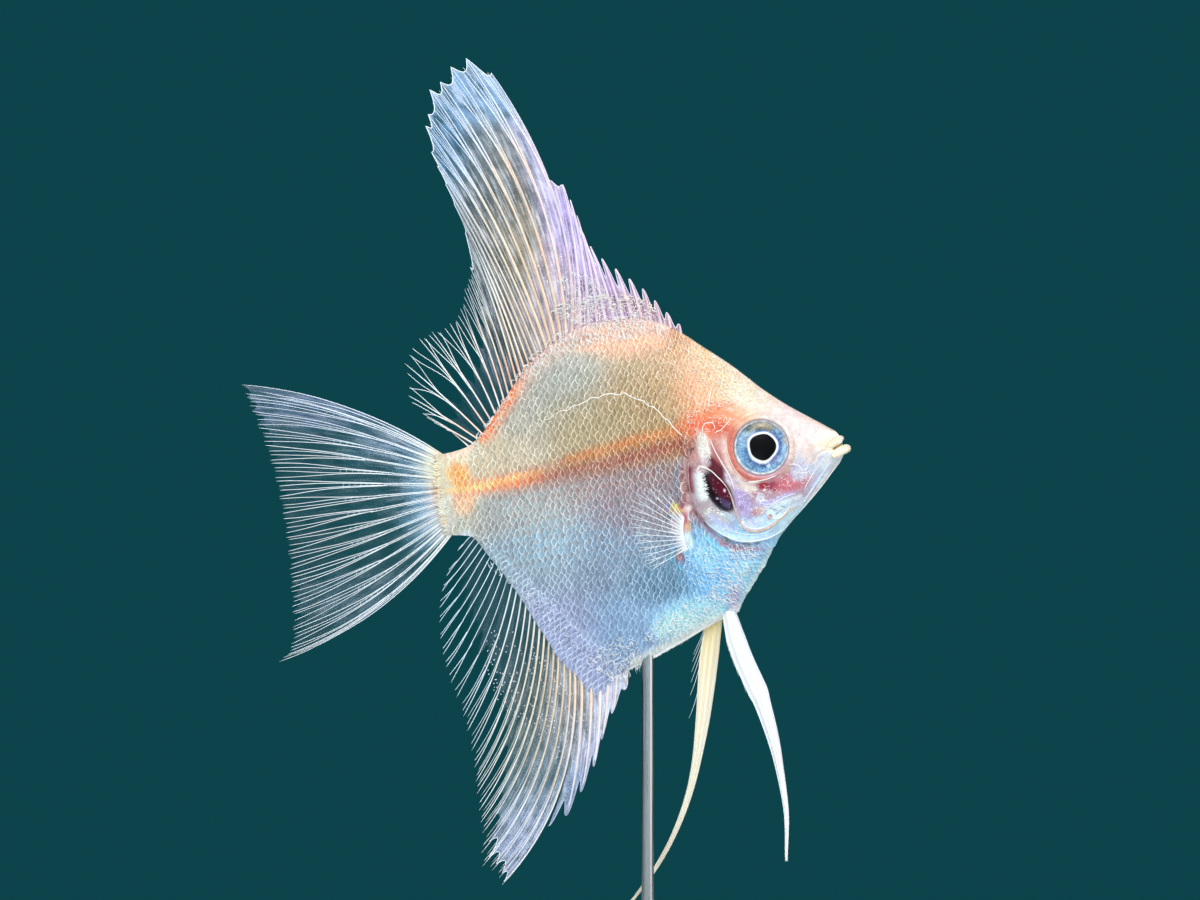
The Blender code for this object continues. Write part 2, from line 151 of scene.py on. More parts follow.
class Finish:
    # a material built round one Principled shader
    def __init__(self, name, **constants):
        self.material = bpy.data.materials.new(name)
        self.material.use_nodes = True
        self.tree = self.material.node_tree
        self.shader = self.tree.nodes["Principled BSDF"]
        self.set(**constants)

    def set(self, **sockets):
        # baseColor=... goes to the shader's input "Base Color", and so on
        for name, value in sockets.items():
            words = "".join(" " + c if c.isupper() else c for c in name)
            self.join(self.shader.inputs[words[0].upper() + words[1:]], value)

    def join(self, socket, value):
        if isinstance(value, Wire):
            self.tree.links.new(value.socket, socket)
        elif isinstance(value, tuple) and len(value) == 3 and socket.type == "RGBA":
            socket.default_value = (*value, 1)
        else:
            socket.default_value = value

    def node(self, kind, settings=None, sockets=None, output=0):
        made = self.tree.nodes.new(kind)
        for name, value in (settings or {}).items():
            setattr(made, name, value)
        for name, value in (sockets or {}).items():
            self.join(made.inputs[name], value)
        return Wire(self, made.outputs[output])

    def place(self):
        return self.node("ShaderNodeTexCoord", output="Object")

    def cloudy(self, where, scale, detail, distortion=0.0):
        sockets = {"Vector": where, "Scale": scale, "Detail": detail, "Distortion": distortion}
        return self.node("ShaderNodeTexNoise", None, sockets)

    def noise(self, size, detail, distortion=0.0):
        # noise whose grains are about size millimetres
        return self.cloudy(self.place(), 1 / (size * fish["unit"]), detail, distortion)

    def grain(self, stretch, scale, detail, distortion=0.0):
        # noise drawn out along the axes
        where = self.node("ShaderNodeMapping", None, {"Vector": self.place(), "Scale": stretch})
        return self.cloudy(where, scale, detail, distortion)

    def read(self, attribute, output="Fac"):
        return self.node("ShaderNodeAttribute", {"attribute_name": attribute}, None, output)

    def between(self, share, first, second, blend="MIX"):
        # the first colour, and by its share the second one blended over it
        settings = {"data_type": "RGBA", "blend_type": blend, "clamp_factor": True}
        mixed = self.node("ShaderNodeMix", settings, {"Factor": share}, "Result")
        for name, value in (("A", first), ("B", second)):
            socket = [s for s in mixed.socket.node.inputs if s.name == name and s.type == "RGBA"][0]
            self.join(socket, value)
        return Wire(self, [s for s in mixed.socket.node.outputs if s.type == "RGBA"][0])

    def ranged(self, value, low, high, toLow=0.0, toHigh=1.0):
        # straight from low..high to toLow..toHigh, held at both ends
        sockets = {"Value": value, "From Min": low, "From Max": high, "To Min": toLow, "To Max": toHigh}
        return self.node("ShaderNodeMapRange", {"clamp": True}, sockets)

    def bump(self, height, depth, strength=1.0, under=None):
        # a bumpy normal, depth in millimetres, laid over another one if given
        sockets = {"Height": height, "Distance": depth * fish["unit"], "Strength": strength}
        if under:
            sockets["Normal"] = under
        return self.node("ShaderNodeBump", None, sockets)


# meshes

def newPiece(name, points, quads, finish, tint=None, values=None, others=None, edge=None):
    # a mesh piece from the fish's points, faces of four corners and a few others, all turned outwards by the
    # signed volume: the sum over each face's two triangles of a corner dot the cross product of the other two
    points = toFrame(np.asarray(points, float).reshape(-1, 3))
    quads = np.asarray(quads, int).reshape(-1, 4)
    a, b, c, d = (points[quads[:, k]] for k in range(4))
    volume = np.einsum("ij,ij->", a, np.cross(b, c)) + np.einsum("ij,ij->", a, np.cross(c, d))
    others = [list(face) for face in (others or [])]
    if volume < 0:
        quads = quads[:, ::-1]
        others = [face[::-1] for face in others]
    mesh = bpy.data.meshes.new(name)
    mesh.from_pydata(points.tolist(), [], quads.tolist() + others)
    mesh.update()
    for key, colours in (("tint", tint), ("edge", edge)):
        if colours is not None:
            colours = np.broadcast_to(np.reshape(colours, (-1, 3)), (len(points), 3))
            colours = np.concatenate([colours, np.ones((len(points), 1))], axis=1)
            layer = mesh.color_attributes.new(name=key, type="FLOAT_COLOR", domain="POINT")
            layer.data.foreach_set("color", colours.astype(np.float32).ravel())
    for key, value in (values or {}).items():
        layer = mesh.attributes.new(name=key, type="FLOAT", domain="POINT")
        layer.data.foreach_set("value", np.asarray(value, np.float32).ravel())
    mesh.shade_smooth()
    mesh.materials.append(finish.material)
    piece = bpy.data.objects.new(name, mesh)
    bpy.context.scene.collection.objects.link(piece)
    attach(piece, "root")
    return piece


def strips(rows, columns):
    # four corners of each face of a grid of points whose columns run round and close
    row, column = np.meshgrid(np.arange(rows - 1), np.arange(columns), indexing="ij")
    after = (column + 1) % columns
    corners = [row * columns + column, row * columns + after, (row + 1) * columns + after,
               (row + 1) * columns + column]
    return np.stack(corners, axis=-1).reshape(-1, 4)


def lid(count, first=0):
    # an even ring of corners filled with a ladder of four-sided faces
    k = np.arange(count // 2 - 1)
    return np.stack([k, k + 1, count - 2 - k, count - 1 - k], axis=-1) + first


# camera, light and floor

studio = {
    "cameraDistance": 0.6,
    "viewWidth": 0.14815,  # metres across the view at the fish
    "viewCentre": (0.00651, 0.06781),
    "lamps": [  # name, place, size, watts, colour
        ("key", (0.09, -0.27, 0.42), 0.36, 1.95, (1.0, 0.97, 0.93)),
        ("fill", (-0.34, -0.38, 0.10), 0.40, 1.15, (0.84, 0.93, 1.0)),
        ("front", (0.40, -0.16, 0.10), 0.25, 0.55, (1.0, 0.96, 0.94)),
        ("behind", (-0.12, 0.40, 0.30), 0.35, 1.3, (0.86, 0.93, 1.0)),
        ("low", (0.08, -0.46, 0.0), 0.22, 0.52, (0.72, 0.91, 1.0)),
    ],
    "floorColour": (0.74, 0.745, 0.73),
    "floorGrain": (0.70, 0.705, 0.69),
    "floorEdge": (0.16, 0.125),  # half width, and how far it reaches behind
    "airColour": (0.004, 0.056, 0.068),
}


def makeStudio():
    scene = bpy.context.scene
    camera = bpy.data.cameras.new("camera")
    camera.sensor_width = 36
    camera.lens = camera.sensor_width * studio["cameraDistance"] / studio["viewWidth"]
    camera.clip_start, camera.clip_end = 0.01, 10
    centreX, centreZ = studio["viewCentre"]
    viewer = bpy.data.objects.new("camera", camera)
    viewer.location = (centreX, -studio["cameraDistance"], centreZ)
    viewer.rotation_euler = (math.pi / 2, 0, 0)
    scene.collection.objects.link(viewer)
    scene.camera = viewer
    for name, place, size, watts, colour in studio["lamps"]:
        lamp = bpy.data.lights.new(name, "AREA")
        lamp.shape, lamp.size, lamp.energy, lamp.color = "DISK", size, watts, colour
        held = bpy.data.objects.new(name, lamp)
        held.location = place
        aim = Vector((centreX, 0, centreZ)) - held.location
        held.rotation_euler = aim.to_track_quat("-Z", "Y").to_euler()
        scene.collection.objects.link(held)
    air = bpy.data.worlds.new("air")
    air.use_nodes = True
    air.node_tree.nodes["Background"].inputs["Color"].default_value = (*studio["airColour"], 1)
    scene.world = air
    scene.view_settings.view_transform = "Standard"

    paper = Finish("floorPaper", roughness=0.9)
    grain = paper.noise(1.4, 4)
    paper.set(baseColor=paper.between(grain, studio["floorColour"], studio["floorGrain"]))
    paper.set(normal=paper.bump(paper.noise(0.5, 3), 0.04))
    half, behind = studio["floorEdge"]
    turn = np.linspace(0, 2 * np.pi, 96, endpoint=False)
    # a rounded square sheet: |x|^4 + |y|^4 = 1, scaled
    reach = (np.cos(turn) ** 4 + np.sin(turn) ** 4) ** -0.25
    rim = np.stack([half * reach * np.cos(turn), half * reach * np.sin(turn) + behind - half, 0 * turn],
                   axis=-1)
    mesh = bpy.data.meshes.new("floor")
    mesh.from_pydata(rim.tolist(), [], lid(len(turn)).tolist())
    mesh.materials.append(paper.material)
    floor = bpy.data.objects.new("floor", mesh)
    scene.collection.objects.link(floor)


makeStudio()
print("studio ready")

# the body's form

body = {
    "back": [(-1, 4.9), (0, 4.9), (3, 5.3), (5.2, 6.7), (7.4, 9.2), (9.9, 12.2), (12.7, 14.9), (15.8, 16.8),
             (18.8, 17.7), (22.4, 18), (25.9, 18), (29, 17.4), (31, 16.4), (34, 14.1), (37, 11.6), (40, 8.7),
             (43, 6.2), (46, 4.1), (48, 2.7), (49, 1.95), (49.7, 1.3), (50.1, 0.5), (50.4, 0.1)],
    "belly": [(-1, -5.3), (0.4, -5.4), (2.5, -5.8), (5, -8.2), (11, -15.6), (17, -22.3), (19.7, -24.1),
              (21.2, -23.7), (26.4, -21.6), (32, -19.3), (34, -18.9), (35, -17.4), (38, -13.5), (40, -10.6),
              (42, -8.4), (44, -6.6), (46, -4.7), (48, -2.6), (50, -0.6), (50.4, -0.15)],
    "thick": [(-1, 1.0), (2, 1.25), (6, 1.9), (12, 2.7), (20, 3.6), (27, 4.15), (33, 4.35), (38, 4.0),
              (42, 3.2), (46, 2.2), (49, 1.35), (50.1, 0.8), (50.4, 0.4)],
    "widest": [(-1, 0), (10, -0.5), (20, -1.5), (28, -3.5), (34, -3.5), (38, -1.5), (44, 0), (50, 0.2)],
    "backRidge": [(-1, 0.5), (5, 0.7), (18, 0.85), (30, 0.85), (36, 0.72), (44, 0.55), (50, 0.5)],
    "bellyRidge": [(-1, 0.5), (5, 0.8), (16, 0.85), (21, 0.5), (30, 0.5), (36, 0.6), (44, 0.55), (50, 0.5)],
    "dorsalSheath": [(-1, 0), (4, 0.1), (12, 0.3), (16, 0.45), (18.5, 0.9), (21, 1.1), (25, 1.0), (28, 0.6),
                     (31, 0.15), (33, 0)],  # how far scaly skin climbs the fin
    "analSheath": [(-1, 0), (2.5, 0), (4, 0.8), (5.9, 1.6), (7.7, 2.6), (9.1, 3.8), (10.3, 4.7), (11.7, 5.9),
                   (13.3, 6.0), (14.8, 6.5), (16.5, 5.2), (18.2, 1.6), (19.7, 0.2), (21, 0)],
    "sheathThick": 0.40,
    "inset": 0.10,
    "snoutFrom": 48.6,
    "snoutRound": 0.75,
    "stations": ((-1.0, 30.0, 64), (30.0, 48.6, 174), (48.6, 49.3, 16)),  # from, to, steps
    "rows": 195,
}
back, belly = eased(body["back"]), eased(body["belly"])
thick, widest = eased(body["thick"]), eased(body["widest"])
backRidge, bellyRidge = eased(body["backRidge"]), eased(body["bellyRidge"])
dorsalSheath, analSheath = eased(body["dorsalSheath"]), eased(body["analSheath"])

eye = {
    "centre": (39.2, 1.2),
    "radius": 3.45,
    "seat": 3.5,  # how far out its rim lies
    "dome": 0.95,
    "depth": 1.6,
    "up": math.radians(6),
    "forward": math.radians(8),
    "pupil": (39.34, 1.25, 1.69),  # x, z, radius
}

gillEdge = [(32.7, 4.2), (31.7, 2.4), (30.3, 1.2), (29.7, -1.2), (29.7, -2.7), (30, -4.8), (31.3, -7.1),
            (32.9, -8.8), (34.8, -9.9), (36.7, -10.3), (38.7, -10.2), (40.5, -9.6), (42.3, -8.4)]
cheekRidge = [(33.6, 3.6), (34.2, 0.7), (34.8, -0.7), (35.5, -3.4), (35.8, -6.8), (36.1, -8.3), (37.2, -9),
              (38.9, -8.8), (40.3, -7.9), (41.8, -7.1), (43.8, -5.7)]
underEye = [(34.5, 4.2), (34.6, 2), (34.9, 0.3), (35.7, -1.4), (36.9, -2.7), (38.6, -2.95), (40.1, -2.8)]
mouthSlit = [(50.4, 0.95), (49.5, 0.60), (48.7, 0.28), (47.8, -0.16)]
jawLine = [(47.8, -0.16), (47.0, -0.1), (46.1, -0.4), (45.6, -1.0), (45.3, -2.0)]
lachrymal = [(45.9, 1.2), (44.3, -1.3), (42.6, -2.2), (41.2, -2.9)]
cheekLine = [(38.0, -4.5), (38.6, -5.3), (39.8, -5.6), (41.2, -5.2), (43.0, -4.9), (44.2, -4.2)]
reliefs = [  # a line, how high it stands, its width, and how much of its ends fades
    (cheekRidge, 0.13, 0.22, 0.1),
    (underEye, 0.10, 0.20, 0.1),
    (jawLine, -0.14, 0.13, 0.25),
    (lachrymal, -0.05, 0.2, 0.3),
    (cheekLine, 0.07, 0.18, 0.2),
    ([(33.9, 3.2), (34.5, 0.6), (35.1, -1.0), (35.9, -3.6), (36.4, -6.6), (37.2, -8.2), (39, -8.0)], -0.10,
     0.2, 0.2),
    ([(31.0, -1.5), (31.05, -0.7), (31.4, -0.3), (32.0, -0.5), (32.7, -0.95), (33.35, -1.7),
      (34.0, -2.5), (34.9, -4.6), (35.15, -6.1)], 0.12, 0.15, 0.12),
    ([(32.4, -1.9), (33.1, -3.4), (33.9, -5.2)], -0.16, 0.60, 0.2),
    ([(31.2, -5.2), (32.0, -6.1), (32.9, -6.9), (34.3, -7.9)], 0.07, 0.40, 0.2),
    ([(47.2, -2.0), (45.2, -4.6), (43.0, -7.0), (41.2, -8.6)], 0.06, 0.25, 0.2),
    ([(46.6, -2.2), (44.6, -4.7), (42.6, -6.6)], -0.05, 0.2, 0.2),
]
headForm = {
    "plate": (0.34, 1.8),  # how high the gill cover's edge stands, and over what distance that sinks forwards
    "lap": (0.05, 0.35, 0.22),  # height, distance and width, in from that edge; below, out from each form
    "cleft": (-0.20, -0.16, 0.13),
    "lips": (0.20, 0.42, 0.30),
    "slit": (0.55, 0.13),  # depth as a share of the thickness, width
    "nostril": (44.05, 2.2),
    "nostrilPit": (-0.10, 0, 0.16),
    "nostrilRim": (0.03, 0.28, 0.10),
    "finRoot": (28.7, -7.7, 0.9, 2.9, 0.42),  # x, z, half length, half height, how high it stands
    "orbit": (3.7, 5.0),  # the eye's seat blends into the head between these distances from its middle
    "orbitRim": (0.16, 3.78, 0.26),
    "orbitGroove": (-0.10, 4.35, 0.25),
    "socket": (3.5, 1.3),  # radius, depth
}


def flank(x, z):
    # half the thickness of the bare body: an oval power of the share of the way from its widest line to its
    # back or belly
    middle = widest(x)
    above = z > middle
    reach = np.where(above, back(x) - middle, middle - belly(x))
    rise = np.abs(z - middle) / np.maximum(reach, 1e-6)
    return thick(x) * np.maximum(1 - rise ** 2, 0) ** np.where(above, backRidge(x), bellyRidge(x))


def eyePlane(x, z):
    # how far out the tilted rim of the eye lies
    return (eye["seat"] - (x - eye["centre"][0]) * math.tan(eye["forward"])
            - (z - eye["centre"][1]) * math.tan(eye["up"]))


def ridge(name, distance):
    # a bell of the form's height and width, centred at its own distance
    height, place, width = headForm[name]
    return height * bell(distance - place, width)


def relief(x, z, y):
    # the head's bones and folds: each is a bell or a step across its line, added to the thickness
    far, share, side = nearPath(gillEdge, x, z)
    inward = far * side
    ends = soft(share, 0.0, 0.10) * soft(1 - share, 0.0, 0.12)
    height, sink = headForm["plate"]
    plate = height * soft(inward, -0.04, 0.12) * np.exp(-np.maximum(inward, 0) / sink)
    y = y + ends * (plate + ridge("cleft", inward) + ridge("lap", inward))
    for line, height, width, fade in reliefs:
        far, share, side = nearPath(line, x, z)
        y = y + height * bell(far, width) * soft(share, 0, fade) * soft(1 - share, 0, fade)
    far, share, side = nearPath(mouthSlit, x, z)
    depth, width = headForm["slit"]
    slit = np.minimum(y, 2.0) * depth * bell(far, width) * soft(1 - share, 0, 0.2)
    y = y + ridge("lips", far) * soft(x, 47.9, 49.0) - slit
    fromNostril = np.hypot(x - headForm["nostril"][0], z - headForm["nostril"][1])
    y = y + ridge("nostrilPit", fromNostril) + ridge("nostrilRim", fromNostril)
    rootX, rootZ, length, tall, height = headForm["finRoot"]
    y = y + height * (1 - soft(np.hypot((x - rootX) / length, (z - rootZ) / tall), 0.3, 1.15))
    fromEye = np.hypot(x - eye["centre"][0], z - eye["centre"][1])
    rim = eyePlane(x, z)
    y = y + (rim - y) * (1 - soft(fromEye, *headForm["orbit"]))
    y = y + ridge("orbitRim", fromEye) + ridge("orbitGroove", fromEye)
    radius, depth = headForm["socket"]
    floor = rim + 0.10 - depth * soft(radius - fromEye, 0.0, 0.35)
    return np.where(fromEye < radius, np.minimum(y, floor), y)


def halfThickness(x, z):
    # the skin's half thickness: the body and, past its edges, the scaly sheath of the fins, joined as the
    # root of their squares, less the coat's depth, with the head's relief on top
    top, bottom = back(x) + dorsalSheath(x), belly(x) - analSheath(x)
    where = np.clip((z - bottom) / np.maximum(top - bottom, 1e-6) * 2 - 1, -1, 1)
    sheathed = soft(np.where(where > 0, dorsalSheath(x), analSheath(x)), 0.0, 0.5)
    past = np.maximum(np.maximum(z - back(x), belly(x) - z), 0)
    rounded = np.sqrt(np.maximum(1 - np.abs(where) ** 40, 0))
    sheath = sheathed * body["sheathThick"] * (1 - 0.07 * past) * rounded
    fillet = sheathed * (0.30 * bell(z - belly(x), 1.3) + 0.22 * bell(z - back(x), 0.9))
    y = np.sqrt(flank(x, z) ** 2 + sheath ** 2) + np.where(np.abs(where) < 0.995, fillet, 0)
    y = (y - fish["coatDepth"] * soft(y, 0.0, 0.6)) * (0.14 + 0.86 * soft(x, -1.1, 0.35))
    return np.maximum(relief(x, z, y), 0.0)


def skinGrid():
    # stations along the body by rows from belly edge to back edge; rows crowd a little towards both edges,
    # and on the head towards the middle
    spans = [np.linspace(a, b, steps, endpoint=False) for a, b, steps in body["stations"]]
    x = np.concatenate(spans + [[body["stations"][-1][1]]])
    r = np.linspace(-1, 1, body["rows"])
    allX = np.repeat(x[:, None], len(r), axis=1)
    fore = soft(allX, 28, 31)
    r = (1 - fore) * (0.55 * r + 0.45 * np.sin(np.pi / 2 * r)) + fore * (0.65 * r + 0.35 * r * np.abs(r))
    # the snout is rounded off behind the lips by a quarter of an oval
    gape = 1 - np.sqrt(1 - np.clip((allX - body["snoutFrom"]) / body["snoutRound"], 0, 0.99) ** 2)
    inset = np.minimum(body["inset"], 0.25 * (back(allX) - belly(allX)))
    gape = gape * (back(allX) - belly(allX))
    top = back(allX) + dorsalSheath(allX) - inset - 0.5 * gape
    bottom = belly(allX) - analSheath(allX) + inset + 0.28 * gape
    middle = np.clip(widest(allX), bottom, top)
    allZ = middle + np.where(r > 0, r * (top - middle), r * (middle - bottom))
    edge = np.abs(r) > 1 - 1e-9
    allY = np.where(edge, 0, np.maximum(halfThickness(allX, allZ), 0.02))
    return allX, allY, allZ


gridX, gridY, gridZ = skinGrid()
print("body form worked out:", gridX.shape)

# the body's colours

washes = [  # name, x, z, reach along, reach up, colour
    ("tail root", 0.5, 2.0, 2.5, 3.5, (0.74, 0.64, 0.46)),
    ("tail root below", 1.0, -3.5, 2.5, 2.0, (0.60, 0.58, 0.50)),
    ("peduncle", 6.5, 4.0, 4.0, 2.5, (0.64, 0.56, 0.42)),
    ("olive shoulder", 15.5, 12.0, 4.5, 3.5, (0.41, 0.42, 0.38)),
    ("grey rise", 10.5, 8.5, 3.5, 3.0, (0.52, 0.50, 0.44)),
    ("gold flank", 18.0, 7.0, 5.0, 3.0, (0.48, 0.385, 0.24)),
    ("gold front", 24.5, 9.0, 4.0, 4.0, (0.455, 0.325, 0.18)),
    ("nape", 29.5, 11.0, 2.6, 4.5, (0.58, 0.37, 0.20)),
    ("hump", 25.0, 16.2, 4.5, 1.6, (0.76, 0.44, 0.28)),
    ("forehead", 34.0, 12.0, 2.6, 3.5, (0.90, 0.68, 0.49)),
    ("brow", 38.5, 8.0, 3.0, 2.6, (0.86, 0.71, 0.58)),
    ("snout", 44.0, 3.6, 3.2, 2.2, (0.88, 0.77, 0.76)),
    ("lips", 48.6, 1.0, 1.8, 1.4, (1.0, 0.95, 0.78)),
    ("chin", 46.5, -2.8, 2.4, 2.0, (0.54, 0.62, 0.78)),
    ("cheek", 41.0, -4.0, 3.0, 1.8, (0.50, 0.30, 0.38)),
    ("jaw corner", 41.5, -7.5, 2.4, 1.6, (0.58, 0.86, 1.0)),
    ("gill cover", 33.5, -3.5, 2.2, 4.5, (0.42, 0.34, 0.37)),
    ("gill cover foot", 35.5, -9.2, 3.2, 1.6, (0.30, 0.56, 0.84)),
    ("behind eye", 34.0, 2.0, 1.8, 2.2, (0.62, 0.30, 0.24)),
    ("side low", 9.0, -3.5, 5.0, 2.0, (0.43, 0.42, 0.41)),
    ("side middle", 24.5, -4.5, 5.5, 2.6, (0.30, 0.24, 0.28)),
    ("silver blue", 11.0, -9.0, 4.5, 4.0, (0.37, 0.48, 0.56)),
    ("steel", 19.5, -10.5, 5.0, 3.5, (0.245, 0.33, 0.455)),
    ("breast shade", 24.5, -13.5, 3.0, 2.6, (0.16, 0.30, 0.44)),
    ("lavender", 11.0, -20.0, 5.0, 5.5, (0.38, 0.43, 0.63)),
    ("keel blue", 20.5, -18.5, 3.6, 3.0, (0.27, 0.42, 0.62)),
    ("breast cyan", 31.0, -12.0, 2.6, 3.0, (0.23, 0.51, 0.79)),
    ("belly cyan", 27.5, -18.3, 3.2, 1.6, (0.38, 0.72, 1.0)),
    ("throat", 36.0, -13.0, 2.6, 3.6, (0.36, 0.66, 1.0)),
]
backLine = [(4.2, 6.0), (5.8, 7.2), (7.7, 9.5), (10.0, 12.1), (12.7, 14.7), (15.8, 16.6),
            (18.8, 17.5), (22.4, 17.8), (25.9, 17.8), (29, 17.2), (31, 16.2)]
sheathLine = [(14.5, 16.9), (17.0, 17.9), (19.5, 18.6), (22.0, 19.0), (25.0, 19.0),
              (28.0, 18.2), (30.5, 16.9)]
